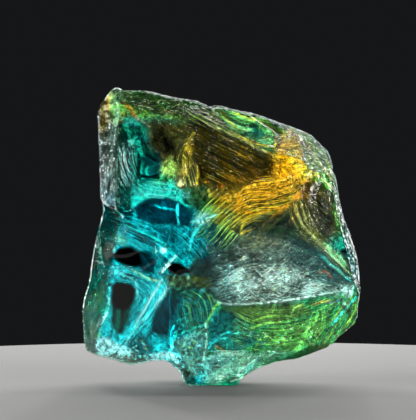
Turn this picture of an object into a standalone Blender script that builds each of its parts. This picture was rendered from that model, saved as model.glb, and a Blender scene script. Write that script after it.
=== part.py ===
"""A fist-sized chunk of clear teal, green and amber glass, standing on the small flat under its foot.

It is one solid, shaped the way it broke. A blank with the chunk's outline is struck from the front and
from the back. Each blow leaves a flake scar, which is a wide shallow hollow with ribs in rings round the
point that was struck. Where two scars meet, the glass keeps a sharp ridge. Smaller dishes follow on the
faces and along the rim, where chips have come off.

X runs to the right, Y away from the viewer and Z up. Lengths in the tables are in millimetres.
"""
import math
from dataclasses import dataclass

import bmesh
import bpy
from mathutils import Matrix, Vector

MM = 0.001
NAME = "glass_chunk"

# Driving dimensions
BLANK_HALF_DEPTH = 26.0
TOOL_REACH = 120.0
TOOL_HEIGHT = 70.0
TOOL_SECTORS = 36
CHIP_SECTORS = 18
CHIP_RINGS = 3
PLAIN_RINGS = 6
MERGE = 0.00001
FLAT_ANGLE = 0.001

# A rib is a sharp crest and a wide trough, so it takes three rings, and ribs stand wider apart further out
RINGS_A_RIB = 3
RIB_SPREAD = 1.15

# Outline seen from the front, as X and Z of its corners, clockwise from the raised corner at the top left
TOP_EDGE = (
    (-34.5, 87.4), (-33.3, 89.0), (-31.7, 90.3), (-29.6, 89.1), (-22.5, 89.1), (-16.3, 87.7),
    (-11.8, 86.8), (-7.4, 86.2), (-3.2, 84.3), (-1.2, 84.8), (3.5, 83.5), (10.0, 82.3),
    (18.6, 79.3), (27.3, 75.9), (32.6, 70.8),
)
RIGHT_EDGE = (
    (33.6, 67.6), (33.8, 64.9), (35.0, 62.3), (36.1, 55.1), (37.1, 50.9), (39.0, 46.6),
    (41.4, 38.7), (42.2, 29.6), (41.5, 24.9), (41.4, 20.8), (40.5, 18.1),
)
LOWER_EDGE = (
    (37.4, 15.4), (35.8, 14.5), (34.4, 12.4), (31.4, 10.7), (23.3, 7.9), (17.2, 7.2),
    (11.8, 5.4), (6.8, 2.6),
)
FOOT_EDGE = ((4.6, 0.0), (-9.8, 0.0), (-11.6, 1.6), (-12.1, 3.6), (-13.3, 5.4), (-16.6, 7.9))
LIP_EDGE = ((-20.7, 7.7), (-23.7, 6.6), (-27.5, 6.0), (-34.1, 7.9), (-37.4, 8.5), (-40.9, 10.1))
LEFT_EDGE = (
    (-41.6, 13.4), (-41.9, 21.1), (-41.7, 24.9), (-40.0, 30.6), (-38.4, 40.5), (-35.4, 51.9),
    (-35.3, 54.8), (-36.1, 57.2), (-36.7, 72.0), (-37.3, 81.8), (-36.4, 84.7),
)
OUTLINE = TOP_EDGE + RIGHT_EDGE + LOWER_EDGE + FOOT_EDGE + LIP_EDGE + LEFT_EDGE

# Corners that neighbouring front faces share, each as X, Y and Z
PEAK = (-12.4, -22.2, 36.5)
ELBOW = (-0.6, -16.5, 25.7)
BROW = (21.4, -16.5, 55.9)
SPUR = (40.8, -5.5, 30.5)
COLLAR = (-31.1, -14.2, 53.8)
SHIN = (-4.5, -12.0, 12.7)
ARCH = (-14.8, -13.3, 12.7)
BAND_TOP = (-14.8, -20.8, 31.7)
BAND_END = (-29.0, -8.0, 12.1)
SILL = (-32.9, -12.4, 36.5)

# Corners that neighbouring back faces share
BACK_COLLAR = (-26.0, 18.0, 51.3)
BACK_KNEE = (-21.4, 18.0, 16.6)


@dataclass(frozen=True)
class Scar:
    """A flake scar: three points of its face, the struck point's X and Z, and the form of its hollow."""

    name: str
    corners: tuple
    struck: tuple
    hollow: float
    reach: float
    rib: float = 0.0
    pitch: float = 6.0
    behind: bool = False


@dataclass(frozen=True)
class Chip:
    """A small dish: its deepest point, the way that it faces, and its radii of curvature and of cut."""

    name: str
    at: tuple
    facing: tuple
    curve: float
    width: float


FRONT_SCARS = (
    Scar("upper_face", (COLLAR, BROW, PEAK), (32.9, 71.0), 0.6, 75.0, 0.20, 7.0),
    Scar("silver_face", (ELBOW, BROW, SPUR), (40.8, 30.5), 0.5, 48.0, 0.12, 5.5),
    Scar("green_face", (ELBOW, SPUR, SHIN), (-0.6, 25.7), 0.4, 44.0, 0.16, 6.0),
    Scar("teal_face", (PEAK, ELBOW, SHIN), (-4.5, 12.7), 0.3, 27.0, 0.10, 5.0),
    Scar("band_pane", (BAND_TOP, BAND_END, ARCH), (-14.8, 31.7), 0.2, 30.0),
    Scar("right_face", (BROW, (26.3, -13.5, 64.0), SPUR), (35.9, 55.9), 0.4, 30.0, 0.16, 5.0),
    Scar("right_band", ((33.2, -9.5, 59.5), (37.8, -7.1, 40.2), (38.1, -1.5, 50.7)),
         (33.2, 59.5), 0.2, 30.0),
    Scar("corner_bevel", ((-30.8, -1.6, 85.2), (-6.3, -4.9, 80.6), (-18.4, 1.0, 87.6)),
         (-4.8, 83.0), 0.6, 28.0, 0.15, 5.0),
    Scar("emerald_bevel", ((-7.5, -4.7, 80.9), (16.0, -10.4, 70.4), (5.7, 1.0, 83.4)),
         (-7.5, 80.9), 0.3, 30.0),
    Scar("shoulder", ((16.9, -7.5, 77.6), (25.7, -12.5, 66.4), (30.2, -0.5, 73.1)),
         (16.9, 77.6), 0.4, 20.0),
    Scar("foot_face", (ARCH, SHIN, (-8.2, -5.5, 2.1)), (-14.8, 12.7), 0.2, 20.0),
    Scar("upper_window", (COLLAR, PEAK, SILL), (-31.1, 53.8), 0.2, 30.0, 0.12, 5.0),
    Scar("lower_window", (SILL, BAND_TOP, BAND_END), (-32.9, 36.5), 0.2, 30.0),
    Scar("left_bevel", ((-30.8, -1.0, 86.7), COLLAR, (-37.1, -4.0, 71.0)),
         (-31.1, 60.0), 0.2, 50.0, 0.12, 5.0),
    Scar("bottom_lip", ((-40.2, -3.0, 12.1), BAND_END, (-29.0, -3.5, 6.9)), (-40.2, 12.1), 0.2, 30.0),
    Scar("olive_corner", ((40.5, -3.5, 25.7), (29.3, -0.9, 11.8), (39.0, 2.0, 16.0)),
         (29.3, 11.8), 0.4, 24.0, 0.15, 4.5),
)

BACK_SCARS = (
    Scar("back_pane", (BACK_COLLAR, (-2.1, 21.5, 57.4), BACK_KNEE),
         (-26.0, 51.3), 0.4, 50.0, behind=True),
    Scar("back_crown", ((-31.7, 5.0, 89.7), (8.8, 5.0, 82.4), (-6.3, 21.0, 58.9)),
         (8.8, 82.4), 0.8, 45.0, 0.28, 6.5, True),
    Scar("back_gable", ((17.8, 5.0, 79.7), (35.0, 4.5, 61.9), (12.4, 21.0, 40.8)),
         (35.0, 61.9), 0.8, 50.0, 0.25, 6.0, True),
    Scar("back_right", ((35.9, 4.0, 55.9), (42.0, 4.0, 28.7), (12.4, 21.5, 33.2)),
         (42.0, 28.7), 0.6, 40.0, 0.22, 5.5, True),
    Scar("back_slope", ((40.5, 6.0, 16.6), (19.3, 8.5, 7.6), (8.8, 21.5, 30.2)),
         (19.3, 7.6), 0.8, 50.0, 0.28, 6.5, True),
    Scar("back_left", (BACK_COLLAR, BACK_KNEE, (-41.4, 8.0, 19.6)),
         (-41.4, 25.0), 0.4, 30.0, 0.15, 5.0, True),
    Scar("back_ear", ((-36.5, 5.0, 80.0), (-35.3, 8.0, 52.2), BACK_COLLAR),
         (-35.3, 52.2), 0.4, 40.0, behind=True),
    Scar("back_lip", (BACK_KNEE, (-39.6, 9.5, 10.0), (-21.4, 13.0, 7.6)),
         (-21.4, 7.6), 0.2, 30.0, behind=True),
)

# Dishes on the faces, then chips along the rim
CHIPS = (
    Chip("left_flank", (-39.6, -3.5, 34.7), (-0.80, -0.60, 0.0), 40.0, 24.0),
    Chip("teal_hollow", (-19.6, -15.2, 51.0), (-0.05, -0.93, 0.37), 40.0, 13.0),
    Chip("ripple_hollow", (-21.4, -8.2, 67.3), (-0.05, -0.93, 0.37), 30.0, 13.0),
    Chip("under_right", (25.0, 9.0, 12.5), (0.32, 0.50, -0.80), 60.0, 20.0),
    Chip("under_lip", (-30.0, 9.5, 10.5), (-0.15, 0.55, -0.82), 40.0, 17.0),
    Chip("left_wall", (-39.5, 4.0, 33.0), (-0.85, 0.52, -0.05), 60.0, 20.0),
    Chip("right_wall", (37.5, 2.5, 50.0), (0.86, 0.48, 0.18), 60.0, 18.0),
    Chip("arch_wall", (-13.8, 9.5, 8.0), (-0.55, 0.50, -0.67), 16.0, 12.0),
)


def face_plane(scar):
    """Return the point struck on a scar's face and the face's direction out of the glass."""
    first, second, third = (Vector(corner) for corner in scar.corners)
    out = (second - first).cross(third - first).normalized()
    if (out.y > 0) != scar.behind:
        out.negate()
    struck_x, struck_z = scar.struck
    drop = (struck_x - first.x) * out.x + (struck_z - first.z) * out.z
    struck = Vector((struck_x, first.y - drop / out.y, struck_z))
    return struck, out


def scar_profile(scar):
    """Return the scar's half profile, from the top of the tool down its outer side and in to the axis."""
    half = scar.reach / 2
    rings = RINGS_A_RIB * round(scar.reach / scar.pitch) if scar.rib else PLAIN_RINGS
    profile = [(0.0, TOOL_HEIGHT), (TOOL_REACH, TOOL_HEIGHT)]
    profile.append((TOOL_REACH, 4 * scar.hollow * (TOOL_REACH - scar.reach) / scar.reach))
    for ring in range(rings, -1, -1):
        radius = scar.reach * (ring / rings) ** RIB_SPREAD
        wave = -scar.rib / 2 if ring % RINGS_A_RIB else scar.rib
        profile.append((radius, wave - scar.hollow * (1 - ((radius - half) / half) ** 2)))
    return profile


def chip_profile(chip):
    """Return a dish's half profile, in the same order."""
    profile = [(0.0, TOOL_HEIGHT), (chip.width, TOOL_HEIGHT)]
    for ring in range(CHIP_RINGS, -1, -1):
        radius = chip.width * ring / CHIP_RINGS
        profile.append((radius, radius ** 2 / (2 * chip.curve)))
    return profile


def turned_tool(name, profile, sectors, at, out, cutters):
    """Turn a half profile about its own axis and set it on the glass with the axis pointing out."""
    mesh = bpy.data.meshes.new(name)
    points = [(radius * MM, 0.0, height * MM) for radius, height in profile]
    edges = [(index, index + 1) for index in range(len(points) - 1)]
    mesh.from_pydata(points, edges, [])
    tool = bpy.data.objects.new(name, mesh)
    cutters.objects.link(tool)
    turn = tool.modifiers.new("Turned", "SCREW")
    turn.steps = sectors
    turn.render_steps = sectors
    turn.use_merge_vertices = True
    turn.merge_threshold = MERGE
    tool.rotation_mode = "QUATERNION"
    tool.rotation_quaternion = out.to_track_quat("Z", "Y")
    tool.location = Vector(at) * MM
    tool.hide_render = True
    tool.display_type = "WIRE"
    return tool


def glass_material():
    """Return the clear blue-green glass."""
    material = bpy.data.materials.new("teal_glass")
    material.use_nodes = True
    shader = material.node_tree.nodes["Principled BSDF"]
    shader.inputs["Base Color"].default_value = (0.18, 0.62, 0.58, 1.0)
    shader.inputs["Roughness"].default_value = 0.05
    shader.inputs["IOR"].default_value = 1.5
    shader.inputs["Transmission Weight"].default_value = 1.0
    return material


def make_blank(parts):
    """Return the block with the chunk's outline, as deep as the chunk before it is struck."""
    curve = bpy.data.curves.new("outline", "CURVE")
    curve.dimensions = "2D"
    curve.fill_mode = "BOTH"
    curve.extrude = BLANK_HALF_DEPTH * MM
    spline = curve.splines.new("POLY")
    spline.points.add(len(OUTLINE) - 1)
    for point, (across, up) in zip(spline.points, OUTLINE):
        point.co = (across * MM, up * MM, 0.0, 1.0)
    spline.use_cyclic_u = True
    flat = bpy.data.objects.new("outline", curve)
    parts.objects.link(flat)
    bpy.context.view_layer.update()
    drawn = flat.evaluated_get(bpy.context.evaluated_depsgraph_get())
    mesh = bpy.data.meshes.new_from_object(drawn)
    bpy.data.objects.remove(flat)
    upright = bmesh.new()
    upright.from_mesh(mesh)
    bmesh.ops.remove_doubles(upright, verts=upright.verts, dist=MERGE)
    bmesh.ops.dissolve_limit(upright, angle_limit=FLAT_ANGLE, verts=upright.verts, edges=upright.edges)
    bmesh.ops.transform(upright, matrix=Matrix.Rotation(math.radians(90), 4, "X"), verts=upright.verts)
    bmesh.ops.recalc_face_normals(upright, faces=upright.faces)
    upright.to_mesh(mesh)
    upright.free()
    blank = bpy.data.objects.new(NAME, mesh)
    blank.data.materials.clear()
    blank.data.materials.append(glass_material())
    parts.objects.link(blank)
    return blank


def strike(blank, tool):
    """Take a flake off the blank with a tool.

    So many shallow cuts that cross each other leave open edges with the EXACT solver.
    """
    cut = blank.modifiers.new(tool.name, "BOOLEAN")
    cut.operation = "DIFFERENCE"
    cut.solver = "MANIFOLD"
    cut.object = tool


def centre_on_base(blank, cutters):
    """Hang everything on one point and move that so the chunk stands centred over the origin."""
    anchor = bpy.data.objects.new("chunk_origin", None)
    bpy.context.scene.collection.objects.link(anchor)
    for piece in [blank, *cutters.objects]:
        piece.parent = anchor
    bpy.context.view_layer.update()
    struck = blank.evaluated_get(bpy.context.evaluated_depsgraph_get())
    corners = [struck.matrix_world @ Vector(corner) for corner in struck.bound_box]
    low = [min(corner[axis] for corner in corners) for axis in range(3)]
    high = [max(corner[axis] for corner in corners) for axis in range(3)]
    anchor.location = (-(low[0] + high[0]) / 2, -(low[1] + high[1]) / 2, -low[2])


def main():
    """Build the chunk."""
    for old in list(bpy.data.objects):
        bpy.data.objects.remove(old)
    parts = bpy.data.collections.new("Glass chunk")
    cutters = bpy.data.collections.new("Cutters")
    for collection in (parts, cutters):
        bpy.context.scene.collection.children.link(collection)

    blank = make_blank(parts)
    for scar in FRONT_SCARS + BACK_SCARS:
        at, out = face_plane(scar)
        strike(blank, turned_tool(scar.name, scar_profile(scar), TOOL_SECTORS, at, out, cutters))
    for chip in CHIPS:
        out = Vector(chip.facing).normalized()
        strike(blank, turned_tool(chip.name, chip_profile(chip), CHIP_SECTORS, chip.at, out, cutters))
    centre_on_base(blank, cutters)


main()
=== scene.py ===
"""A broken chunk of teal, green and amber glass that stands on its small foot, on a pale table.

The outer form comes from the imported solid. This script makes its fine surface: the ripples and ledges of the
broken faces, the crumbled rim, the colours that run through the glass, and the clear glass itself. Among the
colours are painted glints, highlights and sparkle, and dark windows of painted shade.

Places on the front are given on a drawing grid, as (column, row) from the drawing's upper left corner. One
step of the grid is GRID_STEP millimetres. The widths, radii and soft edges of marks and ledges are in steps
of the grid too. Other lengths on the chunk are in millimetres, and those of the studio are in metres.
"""
import logging
import math
from collections.abc import Iterator
from dataclasses import dataclass, field
from enum import Enum

import bpy
import numpy as np
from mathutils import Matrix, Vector


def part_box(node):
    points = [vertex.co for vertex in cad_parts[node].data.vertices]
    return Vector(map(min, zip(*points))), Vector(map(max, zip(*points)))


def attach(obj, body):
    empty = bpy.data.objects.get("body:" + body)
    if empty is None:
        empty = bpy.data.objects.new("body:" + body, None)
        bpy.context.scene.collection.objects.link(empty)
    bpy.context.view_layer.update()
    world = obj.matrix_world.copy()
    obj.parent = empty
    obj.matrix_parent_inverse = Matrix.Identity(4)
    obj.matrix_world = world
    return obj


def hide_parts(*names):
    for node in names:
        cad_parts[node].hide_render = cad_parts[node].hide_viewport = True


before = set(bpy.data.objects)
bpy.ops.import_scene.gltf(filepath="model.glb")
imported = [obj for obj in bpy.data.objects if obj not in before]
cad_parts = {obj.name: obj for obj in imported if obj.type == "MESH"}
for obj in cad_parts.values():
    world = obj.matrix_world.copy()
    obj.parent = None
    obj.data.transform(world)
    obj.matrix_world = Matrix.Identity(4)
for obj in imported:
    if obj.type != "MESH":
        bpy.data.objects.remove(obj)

Point = tuple[float, float]
Span = tuple[float, float]
Colour = tuple[float, float, float]

MM = 0.001
GRID_STEP = 0.302
GRID_COLUMN_AT_ZERO = 221.5
GRID_ROW_AT_ZERO = 385.0
BODY = "root"
NODE = "glass_chunk"

TINY = 1e-9
FAR = 1e9
DISPLAY_TOP = 255
DISPLAY_GAMMA = 2.2

log = logging.getLogger("glass_chunk")


class Side(Enum):
    """The side of the chunk that a mark shows on."""

    FRONT = "front"
    BACK = "back"
    THROUGH = "through"


def tone(red: int, green: int, blue: int) -> Colour:
    """Turns a display colour, 0 to 255, into the linear colour that a shader reads.

    Args:
        red: Red of the display colour.
        green: Green of the display colour.
        blue: Blue of the display colour.

    Returns:
        The linear red, green and blue.
    """
    return tuple((value / DISPLAY_TOP) ** DISPLAY_GAMMA for value in (red, green, blue))


class Hue(Enum):
    """The named colours in the glass. BLACK paints shade, and ICE, which is clear white, also paints glints
    and highlights.
    """

    # Painted shade: the near-black of the dark windows.
    BLACK = tone(1, 3, 4)
    DARK_BROWN = tone(30, 25, 8)
    BROWN = tone(100, 80, 24)
    DARK_OLIVE = tone(52, 48, 16)
    MOSS = tone(104, 118, 54)
    OLIVE = tone(98, 98, 28)
    DARK_GREEN = tone(18, 62, 34)
    DEEP_GREEN = tone(4, 66, 56)
    GREEN = tone(38, 130, 74)
    LEAF = tone(132, 188, 90)
    LIME = tone(198, 222, 104)
    SAGE = tone(190, 214, 176)
    EMERALD = tone(180, 246, 180)
    SEA_GREEN = tone(20, 146, 124)
    TURQUOISE = tone(20, 172, 152)
    DARK_TEAL = tone(2, 48, 58)
    TEAL = tone(4, 104, 112)
    CYAN = tone(12, 170, 178)
    BRIGHT_CYAN = tone(60, 226, 232)
    PALE_CYAN = tone(165, 236, 232)
    # Clear white. Its spots, specks and thin lines are painted glints and highlights.
    ICE = tone(255, 255, 252)
    BLUE = tone(20, 70, 190)
    SMOKE = tone(28, 50, 50)
    PEWTER = tone(112, 124, 104)
    SILVER = tone(226, 234, 228)
    GOLD = tone(246, 196, 40)
    AMBER = tone(234, 184, 30)
    ORANGE = tone(240, 136, 40)
    YELLOW = tone(255, 222, 84)
    PALE_GOLD = tone(255, 238, 172)
    PEACH = tone(250, 222, 200)
    PINK = tone(232, 200, 214)
    RED = tone(226, 60, 20)


def smooth(low: float, high: float, value: np.ndarray) -> np.ndarray:
    """Rises smoothly from 0 at low to 1 at high."""
    t = np.clip((value - low) / (high - low), 0, 1)
    return t * t * (3 - 2 * t)


@dataclass(frozen=True)
class Swell:
    """A smooth random wave: many plane waves in random directions, with lengths about its wavelength."""

    wavelength: float
    seed: int
    height: float = 1.0
    waves: int = 12
    shortest: float = 0.65
    longest: float = 1.45

    def at(self, places: np.ndarray) -> np.ndarray:
        """Works out the wave at each place.

        Args:
            places: The places, one row each.

        Returns:
            One value for each place, mostly between minus and plus the height.
        """
        rng = np.random.default_rng(self.seed)
        directions = rng.normal(size=(self.waves, places.shape[1]))
        directions /= np.linalg.norm(directions, axis=1, keepdims=True)
        lengths = self.wavelength * rng.uniform(self.shortest, self.longest, self.waves)
        phases = rng.uniform(0, 2 * math.pi, self.waves)
        angles = places @ directions.T * (2 * math.pi / lengths) + phases
        return self.height * (np.sin(angles).sum(axis=1) / math.sqrt(self.waves))


def curved(points: tuple[Point, ...], steps: int = 7) -> np.ndarray:
    """Rounds a line through the points with a Catmull-Rom curve.

    Args:
        points: The points that the line passes through.
        steps: How many pieces each stretch gets.

    Returns:
        The points along the rounded line.
    """
    line = np.array(points, float)
    if len(line) < 3:
        return line
    padded = np.vstack([2 * line[0] - line[1], line, 2 * line[-1] - line[-2]])
    rounded = []
    for i in range(1, len(padded) - 2):
        before, start, end, after = padded[i - 1 : i + 3]
        for t in np.arange(steps) / steps:
            rounded.append(0.5 * (2 * start + (end - before) * t
                                  + (2 * before - 5 * start + 4 * end - after) * t ** 2
                                  + (3 * start - before - 3 * end + after) * t ** 3))
    return np.array(rounded + [line[-1]])


def from_line(places: np.ndarray, line: np.ndarray) -> tuple[np.ndarray, np.ndarray]:
    """Measures each place from a line.

    Args:
        places: The places, one row each.
        line: The points along the line.

    Returns:
        The distance to the line, positive to the right of its run as seen on the grid, and how far along
        the line the nearest point is.
    """
    nearest = np.full(len(places), FAR)
    along = np.zeros(len(places))
    side = np.ones(len(places))
    passed = 0.0
    for start, end in zip(line[:-1], line[1:]):
        run = end - start
        length = float(np.hypot(*run))
        offset = places - start
        t = np.clip(offset @ run / length ** 2, 0, 1)
        gap = np.hypot(*(offset - t[:, None] * run).T)
        closer = gap < nearest
        nearest[closer] = gap[closer]
        along[closer] = passed + t[closer] * length
        side[closer] = np.sign(run[0] * offset[closer, 1] - run[1] * offset[closer, 0] + TINY)
        passed += length
    return nearest * side, along


def covered(corners: tuple[Point, ...], soft: float, places: np.ndarray) -> np.ndarray:
    """Works out how far a region with straight sides covers each place.

    Args:
        corners: The region's corners, in order.
        soft: How far its edge fades to each side.
        places: The places, one row each.

    Returns:
        The share of each place, 0 outside to 1 inside.
    """
    ring = np.array(corners + corners[:1], float)
    gap = np.abs(from_line(places, ring)[0])
    inside = np.zeros(len(places), bool)
    for start, end in zip(ring[:-1], ring[1:]):
        spans = (start[1] > places[:, 1]) != (end[1] > places[:, 1])
        rise = (end[1] - start[1]) or TINY
        crossing = start[0] + (places[:, 1] - start[1]) * (end[0] - start[0]) / rise
        inside ^= spans & (places[:, 0] < crossing)
    return smooth(-soft, soft, np.where(inside, gap, -gap))


class Skin:
    """The points of a mesh in millimetres, with their places on the drawing grid."""

    FRONT_EDGE = (-0.15, 0.25)

    def __init__(self, mesh: bpy.types.Mesh) -> None:
        """Reads the places and normals of the mesh's points.

        Args:
            mesh: The mesh to read.
        """
        self.mesh = mesh
        self.places = self._read("co") / MM
        self.normals = self._read("normal")
        self.grid = np.column_stack((self.places[:, 0] / GRID_STEP + GRID_COLUMN_AT_ZERO,
                                     GRID_ROW_AT_ZERO - self.places[:, 2] / GRID_STEP))

    def _read(self, name: str) -> np.ndarray:
        """Reads one value of three numbers for every point.

        Args:
            name: What is read, by its name in the mesh.

        Returns:
            One row for each point.
        """
        values = np.empty(len(self.mesh.vertices) * 3)
        self.mesh.vertices.foreach_get(name, values)
        return values.reshape(-1, 3)

    def move(self, places: np.ndarray) -> None:
        """Moves every point to its new place, in millimetres."""
        self.mesh.vertices.foreach_set("co", (places * MM).ravel())
        self.mesh.update()

    def facing(self, side: Side) -> np.ndarray:
        """Works out how far each point belongs to a side.

        Args:
            side: The side.

        Returns:
            The share of each point, 0 to 1.
        """
        front = smooth(*self.FRONT_EDGE, -self.normals[:, 1])
        if side is Side.FRONT:
            return front
        if side is Side.BACK:
            return 1 - front
        return np.ones(len(front))

    def store(self, name: str, values: np.ndarray) -> None:
        """Keeps one number, one place or one colour of four numbers for every point.

        Args:
            name: The attribute's name.
            values: One row for each point.
        """
        if values.ndim == 1:
            kind, part = "FLOAT", "value"
        elif values.shape[1] == 3:
            kind, part = "FLOAT_VECTOR", "vector"
        else:
            kind, part = "FLOAT_COLOR", "color"
        self.mesh.attributes.new(name, kind, "POINT").data.foreach_set(part, values.ravel())


@dataclass(frozen=True)
class Zone:
    """A region with straight sides where the surface has a finish of its own."""

    name: str
    corners: tuple[Point, ...]
    soft: float = 1.5
    share: float = 1.0
    side: Side = Side.FRONT

    def cover(self, places: np.ndarray) -> np.ndarray:
        """Gives how far the zone covers each place, 0 to 1."""
        return covered(self.corners, self.soft, places)


@dataclass(frozen=True)
class Patch:
    """A patch of colour with straight sides."""

    name: str
    hue: Hue
    corners: tuple[Point, ...]
    soft: float = 1.5
    share: float = 1.0
    side: Side = Side.FRONT

    def cover(self, places: np.ndarray) -> np.ndarray:
        """Gives how far the patch covers each place, 0 to 1."""
        return covered(self.corners, self.soft, places)


@dataclass(frozen=True)
class Streak:
    """A line of colour that thins out towards its ends."""

    THINNEST = 1.7
    CORE = 0.25
    END = 0.04
    FADED_END = 0.7

    name: str
    hue: Hue
    points: tuple[Point, ...]
    width: float = 1.6
    share: float = 1.0
    side: Side = Side.FRONT

    def cover(self, places: np.ndarray) -> np.ndarray:
        """Works out how far the streak covers each place.

        Args:
            places: The places, one row each.

        Returns:
            The share of each place, 0 to 1.
        """
        line = curved(self.points)
        gap, along = from_line(places, line)
        whole = np.hypot(*np.diff(line, axis=0).T).sum()
        taper = np.sqrt(np.clip(np.sin(math.pi * (self.END + (1 - 2 * self.END) * along / whole)), 0, 1))
        reach = np.maximum(self.width * taper, self.THINNEST)
        return (1 - smooth(self.CORE, 1.0, np.abs(gap) / reach)) * smooth(0.0, self.FADED_END, taper)


@dataclass(frozen=True)
class Bloom:
    """A round or oval glow of colour."""

    name: str
    hue: Hue
    centre: Point
    radii: Point
    turn_degrees: float = 0.0
    inner: float = 0.3
    share: float = 1.0
    side: Side = Side.FRONT

    def cover(self, places: np.ndarray) -> np.ndarray:
        """Works out how far the glow covers each place.

        Args:
            places: The places, one row each.

        Returns:
            The share of each place, 0 to 1.
        """
        angle = math.radians(self.turn_degrees)
        turn = np.array([[math.cos(angle), -math.sin(angle)], [math.sin(angle), math.cos(angle)]])
        offset = (places - np.array(self.centre)) @ turn / np.array(self.radii)
        return 1 - smooth(self.inner, 1.0, np.hypot(*offset.T))


@dataclass(frozen=True)
class Specks:
    """Small spots scattered over a patch: coloured flecks and, where they are white, painted sparkle."""

    SIZES = (0.6, 1.3)
    SHARES = (0.5, 1.0)
    TURN_DEGREES = 12.0
    CORE = 0.25
    EDGE = 1.0
    MARGIN = 6.0

    name: str
    hues: tuple[Hue, ...]
    corners: tuple[Point, ...]
    count: int
    size: float = 1.3
    stretch: float = 1.0
    turn_degrees: float = 0.0
    seed: int = 1
    side: Side = Side.FRONT

    def box(self) -> tuple[np.ndarray, np.ndarray]:
        """Gives the lowest and highest corner of the patch."""
        corners = np.array(self.corners)
        return corners.min(axis=0), corners.max(axis=0)

    def spots(self) -> Iterator[Bloom]:
        """Scatters the spots over the patch's box.

        Yields:
            Each spot, with its own size, turn, hue and share.
        """
        rng = np.random.default_rng(self.seed)
        low, high = self.box()
        for _ in range(self.count):
            centre = tuple(rng.uniform(low, high))
            size = self.size * rng.uniform(*self.SIZES)
            hue = self.hues[rng.integers(len(self.hues))]
            turn = self.turn_degrees + rng.uniform(-self.TURN_DEGREES, self.TURN_DEGREES)
            share = rng.uniform(*self.SHARES)
            yield Bloom("speck", hue, centre, (size * self.stretch, size), turn, self.CORE, share)


@dataclass(frozen=True)
class Flow:
    """A region where fine strands of one colour run along a guide line."""

    name: str
    hue: Hue
    guide: tuple[Point, ...]
    corners: tuple[Point, ...]
    soft: float = 4.0
    share: float = 1.0
    spread: float = 1.0
    side: Side = Side.FRONT


@dataclass(frozen=True)
class Ripples:
    """Rings of ripples round the point where a flake was struck off, on the face nearest the probe."""

    PROBED_POINTS = 60
    WRONG_SIDE = 1000.0
    SAME_SLOPE = (0.93, 0.985)
    SAME_PLANE = (1.5, 3.0)
    FADES_AT = (0.8, 1.2)
    BEND = Swell(14, 40, 1.6)
    UNEVEN = Swell(8, 41, 0.5)
    MEAN_STRENGTH = 0.65
    SHARPNESS = 0.5

    name: str
    struck: Point
    probe: Point
    wavelength: float
    height: float
    reach: float
    side: Side = Side.FRONT

    def rise(self, skin: Skin) -> np.ndarray:
        """Works out the height that the ripples add to every point.

        Args:
            skin: The points.

        Returns:
            The added height of each point.
        """
        facing = skin.facing(self.side)
        gap = np.hypot(*(skin.grid - np.array(self.probe)).T) + self.WRONG_SIDE * (facing < 0.5)
        near = np.argsort(gap)[:self.PROBED_POINTS]
        normal = skin.normals[near].mean(axis=0)
        normal /= np.linalg.norm(normal)
        middle = skin.places[near].mean(axis=0)
        struck = np.array([(self.struck[0] - GRID_COLUMN_AT_ZERO) * GRID_STEP, 0.0,
                           (GRID_ROW_AT_ZERO - self.struck[1]) * GRID_STEP])
        struck[1] = middle[1] - ((struck - middle) * normal)[[0, 2]].sum() / normal[1]
        distance = np.linalg.norm(skin.places - struck, axis=1)
        belongs = smooth(*self.SAME_SLOPE, skin.normals @ normal) * facing
        belongs *= 1 - smooth(*self.SAME_PLANE, np.abs((skin.places - middle) @ normal))
        fade_start, fade_end = self.FADES_AT
        belongs *= 1 - smooth(self.reach * fade_start, self.reach * fade_end, distance)
        phase = distance / self.wavelength * 2 * math.pi + self.BEND.at(skin.places)
        uneven = self.MEAN_STRENGTH + self.UNEVEN.at(skin.places)
        return self.height * belongs * uneven * np.sin(phase + self.SHARPNESS * np.sin(phase))


@dataclass(frozen=True)
class Ledge:
    """A thin step in a broken face, along a line on the front."""

    FADE = 9.0
    REACH = 40.0

    name: str
    points: tuple[Point, ...]
    height: float
    width: float

    def rise(self, skin: Skin) -> np.ndarray:
        """Works out the height that the step adds to every point, which is below 0.

        Args:
            skin: The points.

        Returns:
            The added height of each point.
        """
        gap, _ = from_line(skin.grid, curved(self.points))
        edge = smooth(-0.5, 0.5, gap / self.width) * np.exp(-np.clip(gap, 0, None) / self.FADE)
        return -self.height * edge * (np.abs(gap) < self.REACH) * skin.facing(Side.FRONT)


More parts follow.
